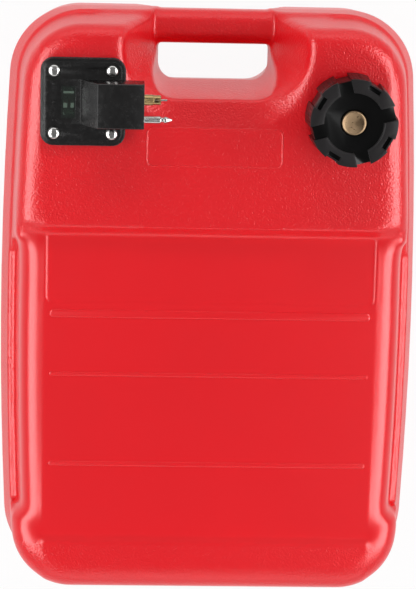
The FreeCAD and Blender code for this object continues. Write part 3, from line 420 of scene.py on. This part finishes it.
def cap_plastic():
    """Cap plastic: satin charcoal crown round a darker, smoother disc."""
    finish = Finish("black_cap_finish", CROWN_COLOUR, roughness=0.4, gloss=0.12)
    radius = finish.radius_from(centre_of("filler_cap"))
    z = finish.coordinates()[2]
    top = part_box("filler_cap")[1].z
    outer = finish.ramp(radius, CROWN_INNER, CROWN_INNER + CROWN_FADE)
    raised = finish.ramp(z, top - CROWN_DEPTH - CROWN_FADE, top - CROWN_DEPTH)
    on_crown = finish.maths("MULTIPLY", outer, raised)
    side = finish.ramp(z, top - CAP_RIM - CAP_RIM_FADE, top - CAP_RIM, start=CAP_SIDE_SHARE, end=0.0)
    share = finish.maths("MAXIMUM", on_crown, side)
    uneven = finish.ramp(finish.noise(scale=120.0, detail=4.0), *NOISE_SPAN, start=0.8, end=1.0)
    finish.tint(finish.maths("MULTIPLY", share, uneven), DISC_COLOUR, CROWN_COLOUR)
    finish.roughness_from(finish.ramp(share, 0.0, 1.0, start=DISC_ROUGHNESS, end=CROWN_ROUGHNESS))
    finish.relief(finish.maths("MULTIPLY", finish.noise(scale=1500.0, detail=2.0), share), depth=0.0001)
    return finish.material


def rubber():
    return moulded("rubber_finish", (0.010, 0.010, 0.011), roughness=0.72, grain=1400.0, depth=0.00005)


def metal(name, colour, roughness, stretch):
    """Turned or drawn metal with fine tool marks, stretched along the work."""
    finish = Finish(name, colour, roughness, metallic=1.0)
    marks = finish.noise(scale=900.0, detail=3.0, stretch=stretch)
    finish.mottle(marks, colour, darkest=0.8, lightest=1.1)
    finish.roughen(marks, roughness - 0.06, roughness + 0.08)
    finish.relief(marks, depth=0.00001)
    return finish.material


def turned_brass(name, centre):
    """Brass with rings of tool marks about an upright axis."""
    finish = Finish(name, TURNED_BRASS, roughness=0.3, metallic=1.0)
    turns = finish.maths("MULTIPLY", finish.radius_from(centre), 2 * math.pi / RING_SPACING)
    finish.mottle(finish.noise(scale=300.0, detail=4.0), TURNED_BRASS, darkest=0.8, lightest=1.15)
    finish.roughen(finish.noise(scale=500.0, detail=3.0), smoothest=0.26, roughest=0.36)
    finish.relief(finish.maths("SINE", turns), depth=0.000015)
    finish.shader.inputs["Anisotropic"].default_value = 0.8
    tangent = finish.tree.nodes.new("ShaderNodeTangent")
    tangent.direction_type = "RADIAL"
    tangent.axis = "Z"
    finish.tree.links.new(tangent.outputs[0], finish.shader.inputs["Tangent"])
    return finish.material


def smoked_plastic():
    """Window of the gauge: smoke-green clear plastic."""
    finish = Finish("clear_lens_finish", (0.10, 0.14, 0.11), roughness=0.08, gloss=0.4)
    finish.shader.inputs["Transmission Weight"].default_value = 0.92
    finish.shader.inputs["IOR"].default_value = 1.49
    finish.roughen(finish.noise(scale=300.0, detail=3.0), smoothest=0.05, roughest=0.12)
    finish.relief(finish.noise(scale=120.0, detail=2.0), depth=0.00003)
    return finish.material


def paint(piece, material):
    piece.data.materials.clear()
    piece.data.materials.append(material)


# ---------------------------------------------------------------- pieces


def link(mesh, name):
    piece = bpy.data.objects.new(name, mesh)
    bpy.context.scene.collection.objects.link(piece)
    return piece


def evaluated_mesh(piece):
    """Mesh of the piece as it shows, with modifiers or curves worked out."""
    graph = bpy.context.evaluated_depsgraph_get()
    graph.update()
    return bpy.data.meshes.new_from_object(piece.evaluated_get(graph))


def baked(piece):
    """Puts the piece's modifiers into its mesh."""
    mesh = evaluated_mesh(piece)
    piece.modifiers.clear()
    piece.data = mesh
    return mesh


def riding(piece, body, material):
    """Lets an added piece move with a body, in the finish of a slot."""
    paint(piece, material)
    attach(piece, body)
    return piece


def standing_for(piece, node, material):
    """Shows the piece in place of a CAD node, with the node's body and finish."""
    riding(piece, nodes[node]["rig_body"], material)
    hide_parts(node)
    return piece


def centre_of(node):
    low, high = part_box(node)
    return (low + high) / 2


def smooth_step(value, low, high):
    """0 below low, 1 above high and an even rise between."""
    share = min(max((value - low) / (high - low), 0.0), 1.0)
    return share * share * (3 - 2 * share)


def surface_from(name, rings, closed_ends=True):
    """Smooth mesh skinned over rings of points, each ring closed on itself."""
    form = bmesh.new()
    loops = [[form.verts.new(point) for point in ring] for ring in rings]
    for lower, upper in zip(loops, loops[1:]):
        for i in range(len(lower)):
            j = (i + 1) % len(lower)
            form.faces.new((lower[i], lower[j], upper[j], upper[i]))
    if closed_ends:
        form.faces.new(reversed(loops[0]))
        form.faces.new(loops[-1])
    bmesh.ops.recalc_face_normals(form, faces=form.faces)
    mesh = bpy.data.meshes.new(name)
    form.to_mesh(mesh)
    form.free()
    mesh.shade_smooth()
    return mesh


def turned_rings(outline, steps):
    """Rings of points for a form turned about Z: outline gives radius and height."""
    angles = [2 * math.pi * i / steps for i in range(steps)]
    return [
        [Vector((radius * math.cos(a), radius * math.sin(a), height)) for a in angles]
        for radius, height in outline
    ]


def tube_rings(spots, radius, steps=8):
    """Rings of points round a closed level line of spots."""
    turns = [2 * math.pi * k / steps for k in range(steps)]
    rings = []
    for i, spot in enumerate(spots):
        ahead = (spots[(i + 1) % len(spots)] - spots[i - 1]).normalized()
        side = Vector((ahead.y, -ahead.x, 0))
        rounds = [side * (radius * math.cos(a)) + Vector((0, 0, radius * math.sin(a))) for a in turns]
        rings.append([spot + offset for offset in rounds])
    return rings + rings[:1]


# ---------------------------------------------------------------- tank


def cut_loose_from_hollow(mesh):
    """Leaves the outer skin only: opens the walls below neck and gauge, then drops the inside."""
    cap = centre_of("filler_cap")
    gauge = centre_of("gauge_gasket")
    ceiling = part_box("gauge_gasket")[0].z - WALL
    rims = ((cap, NECK_BORE), (gauge, APERTURE))
    form = bmesh.new()
    form.from_mesh(mesh)

    def at_rim(face):
        spot = face.calc_center_median()
        if abs(spot.z - ceiling) > RIM_HEIGHT:
            return False
        spans = ((spot.xy - middle.xy).length - radius for middle, radius in rims)
        return any(0 < span < RIM_REACH for span in spans) and face.normal.z < FACING_DOWN

    bmesh.ops.delete(form, geom=[face for face in form.faces if at_rim(face)], context="FACES")
    form.verts.ensure_lookup_table()
    start = max(form.verts, key=lambda vertex: vertex.co.x)
    kept = {start}
    waiting = [start]
    while waiting:
        vertex = waiting.pop()
        for edge in vertex.link_edges:
            other = edge.other_vert(vertex)
            if other not in kept:
                kept.add(other)
                waiting.append(other)
    bmesh.ops.delete(form, geom=[vertex for vertex in form.verts if vertex not in kept], context="VERTS")
    form.to_mesh(mesh)
    form.free()


def shoulder_share(spot):
    """1 on the rounded shoulders beside the hand bay, 0 elsewhere."""
    if spot.y < SHOULDER_START or spot.z < SHOULDER_LOW:
        return 0.0
    across = abs(spot.x)
    widening = smooth_step(spot.y, *SHOULDER_WIDENING)
    reach = SHOULDER_REACH + (SHOULDER_HEAD_REACH - SHOULDER_REACH) * widening
    inside = 1 - smooth_step(across, reach - SHOULDER_FADE, reach + SHOULDER_FADE)
    outside = smooth_step(across, *SHOULDER_INNER_BLEND)
    headward = smooth_step(spot.y, SHOULDER_START, SHOULDER_START + SHOULDER_START_FADE)
    above = smooth_step(spot.z, SHOULDER_LOW, SHOULDER_LOW + SHOULDER_LOW_FADE)
    return inside * outside * headward * above


def side_share(spot):
    """1 on the broad roundings along the face's two long sides, 0 elsewhere."""
    start = SIDE_START + (DECK_SIDE_START - SIDE_START) * smooth_step(spot.y, *DECK_SIDE_BLEND)
    outward = smooth_step(abs(spot.x), start - SIDE_FADE_IN, start + SIDE_FADE_OUT)
    return outward * smooth_step(spot.z, *SIDE_HEIGHT_BLEND)


def step_share(spot):
    """1 on the hump's step, from the panel's level upwards, 0 elsewhere."""
    from_foot = smooth_step(spot.y, STEP_LOW - STEP_LOW_FADE, STEP_LOW + STEP_LOW_FADE)
    from_head = 1 - smooth_step(spot.y, STEP_HIGH, STEP_HIGH + STEP_HIGH_FADE)
    return from_foot * from_head * smooth_step(spot.z, *STEP_HEIGHT_BLEND)


def softness_at(spot, cap, deck):
    """Share of the smoothing that a point of the skin takes; least on the neck."""
    if spot.z > deck + NECK_FOOT and (spot.xy - cap.xy).length < NECK_RADIUS + NECK_AROUND:
        return NECK_SHARE
    edge = max(side_share(spot), STEP_SOFTNESS * step_share(spot))
    share = BODY_SHARE + (SIDE_SHARE - BODY_SHARE) * edge
    return share + (SHOULDER_SHARE - share) * shoulder_share(spot)


def label_depth(spot):
    """Depth of the label recess under a spot of the panel."""
    middle = (LABEL_LOW + LABEL_HIGH) / 2
    half = Vector((LABEL_HALF - LABEL_CORNER, LABEL_HIGH - middle - LABEL_CORNER))
    beyond = Vector((max(abs(spot.x) - half.x, 0.0), max(abs(spot.y - middle) - half.y, 0.0)))
    return LABEL_DEPTH * smooth_step(LABEL_CORNER - beyond.length, 0.0, LABEL_SLOPE)


def step_shift(spot):
    """Way along the tank that moves a point of the hump's step to its place."""
    rise = smooth_step(spot.z, LEDGE, LEDGE + STEP_RISE)
    near = smooth_step(spot.y, STEP_LOW - STEP_FADE, STEP_LOW)
    near *= 1 - smooth_step(spot.y, STEP_HIGH, STEP_HIGH + STEP_FADE * 2)
    beside = smooth_step(abs(spot.x), *STEP_SIDE_BLEND)
    return (STEP_SHIFT + STEP_SIDE_SHIFT * beside) * rise * near


def panel_share(spot):
    """1 where the face panel is drawn flat, 0 elsewhere."""
    share = 1 - smooth_step(abs(spot.x), SIDE_START - SIDE_FADE_IN, SIDE_START + SIDE_FADE_IN)
    share *= 1 - smooth_step(spot.y, PANEL_HEAD - PANEL_FADE_ALONG, PANEL_HEAD)
    return share * smooth_step(spot.y, PANEL_FOOT + PANEL_FOOT_FADE, PANEL_FOOT + 2 * PANEL_FOOT_FADE)


def settle_face(mesh):
    """Moves the hump's step to its place and draws panel, recess and deck clean."""
    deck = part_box("gauge_gasket")[0].z
    for vertex in mesh.vertices:
        spot = vertex.co
        if spot.z < LEDGE:
            continue
        spot.y += step_shift(spot)
        if abs(spot.z - PANEL_LEVEL) < PANEL_CATCH:
            spot.z += (PANEL_LEVEL - label_depth(spot) - spot.z) * panel_share(spot)
        in_field = abs(spot.x) < DECK_FIELD_HALF and spot.y < DECK_FIELD_HEAD
        if in_field and abs(spot.z - deck) < DECK_CATCH:
            spot.z = deck


def tank_skin(material):
    """The moulded shell with soft edges, made from the CAD shell."""
    skin = link(nodes["tank_shell"].data.copy(), "tank_skin")
    remesh = skin.modifiers.new("remesh", "REMESH")
    remesh.mode = "VOXEL"
    remesh.voxel_size = VOXEL
    mesh = baked(skin)
    cut_loose_from_hollow(mesh)
    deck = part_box("gauge_gasket")[0].z
    cap = centre_of("filler_cap")
    group = skin.vertex_groups.new(name="softness")
    for vertex in mesh.vertices:
        group.add([vertex.index], softness_at(vertex.co, cap, deck), "REPLACE")
    smooth = skin.modifiers.new("smooth", "SMOOTH")
    smooth.factor = SMOOTHING_FACTOR
    smooth.iterations = ROUNDING_STEPS
    smooth.vertex_group = "softness"
    mesh = baked(skin)
    skin.vertex_groups.clear()
    settle_face(mesh)
    mesh.shade_smooth()
    return standing_for(skin, "tank_shell", material)


def rounded_outline(low_x, low_y, high_x, high_y, corner, steps=8):
    """Points round a rectangle with round corners, anticlockwise."""
    corners = (
        (0, high_x - corner, high_y - corner), (90, low_x + corner, high_y - corner),
        (180, low_x + corner, low_y + corner), (270, high_x - corner, low_y + corner),
    )
    spots = []
    for turn, x, y in corners:
        for i in range(steps + 1):
            angle = math.radians(turn + 90 * i / steps)
            spots.append(Vector((x + corner * math.cos(angle), y + corner * math.sin(angle), 0)))
    return spots


def panel_rib(name, y, width, material):
    """Raised rib across the panel with round ends and soft edges."""
    rings = []
    for inset, height in RIB_FLANK:
        half = width / 2 - inset
        reach = RIB_HALF - inset
        outline = rounded_outline(-reach, y - half, reach, y + half, half * RIB_ROUNDNESS)
        rings.append([spot + Vector((0, 0, PANEL_LEVEL + height)) for spot in outline])
    return riding(link(surface_from(name, rings), name), "tank", material)


def deck_frame(material):
    """Raised line round the bare field on the deck."""
    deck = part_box("gauge_gasket")[0].z
    outline = rounded_outline(*DECK_FRAME, DECK_FRAME_CORNER)
    spots = [spot + Vector((0, 0, deck - DECK_FRAME_SINK)) for spot in outline]
    mesh = surface_from("deck_frame", tube_rings(spots, DECK_FRAME_LINE), closed_ends=False)
    weld_ends(mesh)
    return riding(link(mesh, "deck_frame"), "tank", material)


def weld_ends(mesh):
    """Joins the last ring of a closed tube to its first."""
    form = bmesh.new()
    form.from_mesh(mesh)
    bmesh.ops.remove_doubles(form, verts=form.verts, dist=2 * WELD)
    form.to_mesh(mesh)
    form.free()


def parting_loops():
    """Level lines of the shell where the two halves of its mould met, each in order."""
    form = bmesh.new()
    form.from_mesh(nodes["tank_shell"].data)
    bmesh.ops.remove_doubles(form, verts=form.verts, dist=WELD)
    everything = form.verts[:] + form.edges[:] + form.faces[:]
    cut = bmesh.ops.bisect_plane(form, geom=everything, plane_co=(0, 0, PARTING), plane_no=(0, 0, 1))
    edges = [item for item in cut["geom_cut"] if isinstance(item, bmesh.types.BMEdge)]
    around = {}
    for edge in edges:
        for vertex in edge.verts:
            around.setdefault(vertex, []).append(edge)
    loops = []
    left = set(edges)
    while left:
        edge = left.pop()
        vertex = edge.verts[0]
        loop = [vertex.co.copy()]
        while True:
            vertex = edge.other_vert(vertex)
            loop.append(vertex.co.copy())
            onward = [other for other in around[vertex] if other in left]
            if not onward:
                break
            edge = onward[0]
            left.discard(edge)
        loops.append(loop)
    form.free()
    return loops


def evened(loop, step):
    """Points at even steps along a closed line."""
    spots = []
    carried = 0.0
    for start, end in zip(loop, loop[1:]):
        run = (end - start).length
        while carried < run:
            spots.append(start.lerp(end, carried / run))
            carried += step
        carried -= run
    return spots


def mould_seam(material):
    """Fine raised seam round the outside of the tank."""
    outer = max(parting_loops(), key=lambda loop: max(spot.x for spot in loop))
    spots = evened(outer, SEAM_STEP)
    middle = Vector((0, 0, PARTING))
    spots = [middle + (spot - middle) * (1 - SEAM_SINK / (spot - middle).length) for spot in spots]
    mesh = surface_from("mould_seam", tube_rings(spots, SEAM_RADIUS), closed_ends=False)
    weld_ends(mesh)
    return riding(link(mesh, "mould_seam"), "tank", material)


def neck_thread(material):
    """Thread of the filler neck, tapering to nothing at both ends."""
    cap = centre_of("filler_cap")
    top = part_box("cap_seal")[0].z - THREAD_TOP
    count = int(THREAD_STEPS * THREAD_TURNS)
    rings = []
    for i in range(count + 1):
        turns = i / THREAD_STEPS
        out = Vector((math.cos(2 * math.pi * turns), math.sin(2 * math.pi * turns), 0))
        fade = smooth_step(min(turns, THREAD_TURNS - turns), *THREAD_FADE)
        z = top - THREAD_PITCH * (THREAD_TURNS - turns)
        root = Vector((cap.x, cap.y, z)) + out * (NECK_RADIUS - THREAD_ROOT)
        crest = root + out * (THREAD_ROOT + THREAD_HEIGHT * fade)
        half = Vector((0, 0, THREAD_WIDTH / 2 * (THREAD_END_WIDTH + (1 - THREAD_END_WIDTH) * fade)))
        crest_half = half * THREAD_CREST_SHARE
        rings.append([root - half, crest - crest_half, crest + crest_half, root + half])
    thread = link(surface_from("neck_thread", rings), "neck_thread")
    return riding(thread, "tank", material)


# ---------------------------------------------------------------- fittings


def shade_with_edges(mesh):
    mesh.shade_smooth()
    mesh.set_sharp_from_angle(angle=EDGE_ANGLE)


def rounded_copy(node, before=None):
    """Copy of a CAD piece with its sharp edges rounded, after a change to its mesh."""
    piece = link(nodes[node].data.copy(), f"{node}_look")
    form = bmesh.new()
    form.from_mesh(piece.data)
    bmesh.ops.remove_doubles(form, verts=form.verts, dist=WELD)
    if before:
        before(form)
    bmesh.ops.dissolve_limit(form, angle_limit=FLAT_ANGLE, verts=form.verts, edges=form.edges)
    form.to_mesh(piece.data)
    form.free()
    bevel = piece.modifiers.new("bevel", "BEVEL")
    bevel.width = EDGE_WIDTHS[node]
    bevel.segments = 2
    bevel.limit_method = "ANGLE"
    bevel.angle_limit = ROUNDED_ANGLE
    shade_with_edges(baked(piece))
    return piece


def softened(node, material, before=None):
    """Shows a CAD piece with rounded edges in the finish of its slot."""
    return standing_for(rounded_copy(node, before), node, material)


def without_marks(form):
    """Sinks the plain marks of the dial, where the numbers stand instead."""
    dial = dial_level()
    right_end = centre_of("gauge_lens").x
    for vertex in form.verts:
        raised = dial + MARK_HEIGHT / 2 < vertex.co.z < dial + MARK_HEIGHT * 1.5
        if raised and vertex.co.x < right_end:
            vertex.co.z = dial
    bmesh.ops.remove_doubles(form, verts=form.verts, dist=WELD)


def dial_level():
    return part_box("gauge_lens")[1].z


def dial_numbers(material):
    """Raised numbers for full, half and empty."""
    gauge = centre_of("gauge_gasket")
    for number, (text, y) in enumerate(NUMBERS.items(), 1):
        curve = bpy.data.curves.new(f"dial_number_{number}", "FONT")
        curve.body = text
        curve.size = NUMBER_SIZE
        curve.align_x = "CENTER"
        curve.align_y = "CENTER"
        curve.extrude = NUMBER_HEIGHT
        curve.resolution_u = 4
        piece = link(curve, f"dial_number_{number}")
        mesh = evaluated_mesh(piece)
        mesh.transform(Matrix.Translation((gauge.x + NUMBER_X, gauge.y + y, dial_level())))
        bpy.data.objects.remove(piece)
        riding(link(mesh, f"dial_number_{number}"), "tank", material)


def screw_mesh():
    """Pan-head screw with a cross recess, its head standing on level 0."""
    low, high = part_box("plate_screws")
    tip = low.z - high.z + SCREW_HEAD_HEIGHT
    outline = [(SCREW_TIP, tip), (SCREW_SHANK, tip + SCREW_POINT), (SCREW_SHANK, 0), (SCREW_SEAT, 0)]
    dome = SCREW_HEAD_HEIGHT - SCREW_EDGE
    for i in range(DOME_STEPS):
        turn = DOME_ANGLE * i / (DOME_STEPS - 1)
        outline.append((SCREW_HEAD * math.cos(turn), SCREW_EDGE + dome * math.sin(turn)))
    screw = link(surface_from("screw", turned_rings(outline, SCREW_STEPS)), "screw")
    cutter = link(bpy.data.meshes.new("cross"), "cross")
    form = bmesh.new()
    lift = Matrix.Translation((0, 0, SCREW_HEAD_HEIGHT))
    bar = Matrix.Diagonal((CROSS_LENGTH, CROSS_WIDTH, CROSS_DEPTH * 2, 1))
    for turn in (0, 90):
        spin = Matrix.Rotation(math.radians(turn), 4, "Z")
        bmesh.ops.create_cube(form, size=1.0, matrix=lift @ spin @ bar)
    form.to_mesh(cutter.data)
    form.free()
    cut = screw.modifiers.new("recess", "BOOLEAN")
    cut.operation = "DIFFERENCE"
    cut.solver = "EXACT"
    cut.use_self = True
    cut.object = cutter
    mesh = baked(screw)
    bpy.data.objects.remove(cutter)
    bpy.data.objects.remove(screw)
    return mesh


def plate_screws(material):
    """The gauge plate's four screws, each turned to its own stop."""
    low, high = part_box("plate_screws")
    seat = high.z - SCREW_HEAD_HEIGHT
    across = (low.x + SCREW_HEAD, high.x - SCREW_HEAD)
    along = (low.y + SCREW_HEAD, high.y - SCREW_HEAD)
    screw = screw_mesh()
    form = bmesh.new()
    for number, (x, y) in enumerate([(x, y) for x in across for y in along]):
        turn = math.radians(SCREW_FIRST_TURN + SCREW_NEXT_TURN * number)
        copy = screw.copy()
        copy.transform(Matrix.Translation((x, y, seat)) @ Matrix.Rotation(turn, 4, "Z"))
        form.from_mesh(copy)
    mesh = bpy.data.meshes.new("plate_screws_look")
    form.to_mesh(mesh)
    form.free()
    shade_with_edges(mesh)
    return standing_for(link(mesh, "plate_screws_look"), "plate_screws", material)


def dress_cad_nodes(finishes):
    """Gives each CAD node that stays in view the finish of its slot."""
    for part in frame["record"]["subparts"]:
        node = nodes[part["node"]]
        material = finishes[part["material_slot"]]
        for place in node.material_slots:
            place.material = material
        if not node.material_slots:
            node.data.materials.append(material)


# ---------------------------------------------------------------- stage


def background_ray(tree):
    """1 for rays that show the background: seen, mirrored or through a clear piece."""
    path = tree.nodes.new("ShaderNodeLightPath")
    value = path.outputs["Is Camera Ray"]
    for kind in ("Is Glossy Ray", "Is Transmission Ray"):
        most = tree.nodes.new("ShaderNodeMath")
        most.operation = "MAXIMUM"
        tree.links.new(value, most.inputs[0])
        tree.links.new(path.outputs[kind], most.inputs[1])
        value = most.outputs[0]
    return value


def make_floor():
    """Pale floor that looks white and keeps the object's shadow."""
    mesh = bpy.data.meshes.new("floor")
    reach = FLOOR_REACH
    corners = [(-reach, -reach, 0), (reach, -reach, 0), (reach, reach, 0), (-reach, reach, 0)]
    mesh.from_pydata(corners, [], [(0, 1, 2, 3)])
    floor = link(mesh, "floor")
    material = bpy.data.materials.new("floor_finish")
    material.use_nodes = True
    tree = material.node_tree
    tree.nodes.clear()
    matte = tree.nodes.new("ShaderNodeBsdfDiffuse")
    matte.inputs["Color"].default_value = (*FLOOR_COLOUR, 1)
    glow = tree.nodes.new("ShaderNodeEmission")
    glow.inputs["Strength"].default_value = 1.0
    lift = tree.nodes.new("ShaderNodeMath")
    lift.operation = "MULTIPLY"
    lift.inputs[1].default_value = FLOOR_LIFT
    tree.links.new(background_ray(tree), lift.inputs[0])
    blend = tree.nodes.new("ShaderNodeMixShader")
    tree.links.new(lift.outputs[0], blend.inputs[0])
    tree.links.new(matte.outputs[0], blend.inputs[1])
    tree.links.new(glow.outputs[0], blend.inputs[2])
    output = tree.nodes.new("ShaderNodeOutputMaterial")
    tree.links.new(blend.outputs[0], output.inputs["Surface"])
    floor.data.materials.append(material)


def make_lamps():
    """Soft lamps and reflectors, each turned to the tank."""
    for name, (place, width, length, power) in (LAMPS | REFLECTORS).items():
        data = bpy.data.lights.new(name, "AREA")
        data.shape = "RECTANGLE"
        data.size = width
        data.size_y = length
        data.energy = power
        lamp = bpy.data.objects.new(name, data)
        bpy.context.scene.collection.objects.link(lamp)
        lamp.location = place
        lamp.visible_glossy = name in REFLECTORS
        lamp.visible_diffuse = name in LAMPS
        lamp.rotation_mode = "QUATERNION"
        aim = CAMERA_TARGET - Vector(place)
        back = -aim.normalized()
        side = Vector((0, 1, 0)).cross(back).normalized() if abs(back.y) < ALONG_Y else Vector((1, 0, 0))
        lamp.rotation_quaternion = Matrix((side, back.cross(side), back)).transposed().to_quaternion()


def make_world():
    """Even white light from all round."""
    world = bpy.data.worlds.new("studio")
    bpy.context.scene.world = world
    world.use_nodes = True
    shade = world.node_tree.nodes["Background"]
    shade.inputs["Color"].default_value = (1, 1, 1, 1)
    shade.inputs["Strength"].default_value = AMBIENT


def make_camera():
    """The photograph's camera: above the face, a little towards handle and gauge."""
    pitch, yaw, roll = (math.radians(angle) for angle in (CAMERA_PITCH, CAMERA_YAW, CAMERA_ROLL))
    back = Vector((-math.sin(yaw) * math.cos(pitch), math.sin(pitch), math.cos(yaw) * math.cos(pitch)))
    level = Vector((0, 1, 0)).cross(back).normalized()
    upright = back.cross(level)
    right = level * math.cos(roll) + upright * math.sin(roll)
    up = upright * math.cos(roll) - level * math.sin(roll)
    data = bpy.data.cameras.new("camera")
    data.sensor_width = SENSOR
    data.lens = SENSOR * FOCAL_PIXELS / PHOTO_HEIGHT
    camera = bpy.data.objects.new("camera", data)
    bpy.context.scene.collection.objects.link(camera)
    turn = Matrix((right, up, back)).transposed().to_4x4()
    camera.matrix_world = Matrix.Translation(CAMERA_TARGET + back * CAMERA_DISTANCE) @ turn
    bpy.context.scene.camera = camera


# ---------------------------------------------------------------- scene

red = red_polyethylene()
black_cap = cap_plastic()
nylon = moulded("black_nylon_finish", (0.005, 0.0045, 0.0045), roughness=0.24, gloss=0.34)
brass = metal("brass_finish", (0.32, 0.225, 0.105), roughness=0.25, stretch=(0.1, 1, 1))
steel = metal("steel_finish", (0.40, 0.39, 0.38), roughness=0.20, stretch=(0.1, 1, 1))
aluminium = metal("aluminium_finish", (0.62, 0.63, 0.64), roughness=0.35, stretch=(1, 1, 0.08))
white_nylon = moulded("white_nylon_finish", (0.72, 0.71, 0.66), roughness=0.45, gloss=0.5)
foam = moulded("foam_finish", (0.02, 0.02, 0.021), roughness=0.85, grain=700.0, depth=0.0004)
finishes = {
    "red_polyethylene": red,
    "black_cap_plastic": black_cap,
    "black_nylon": nylon,
    "rubber": rubber(),
    "brass": brass,
    "clear_lens": smoked_plastic(),
    "steel": steel,
    "aluminium_tube": aluminium,
    "white_nylon": white_nylon,
    "black_foam": foam,
}
dress_cad_nodes(finishes)
tank_skin(red)
for name, (y, width) in RIBS.items():
    panel_rib(name, y, width, red)
deck_frame(red)
mould_seam(red)
neck_thread(red)
softened("filler_cap", black_cap)
softened("gauge_plate", nylon, without_marks)
softened("gauge_gasket", finishes["rubber"])
softened("vent_screw", turned_brass("vent_brass_finish", centre_of("vent_screw")))
softened("fuel_prong", brass)
softened("locating_pin", steel)
dial_numbers(nylon)
plate_screws(steel)

make_floor()
make_lamps()
make_world()
make_camera()
bpy.context.scene.view_settings.view_transform = "Standard"
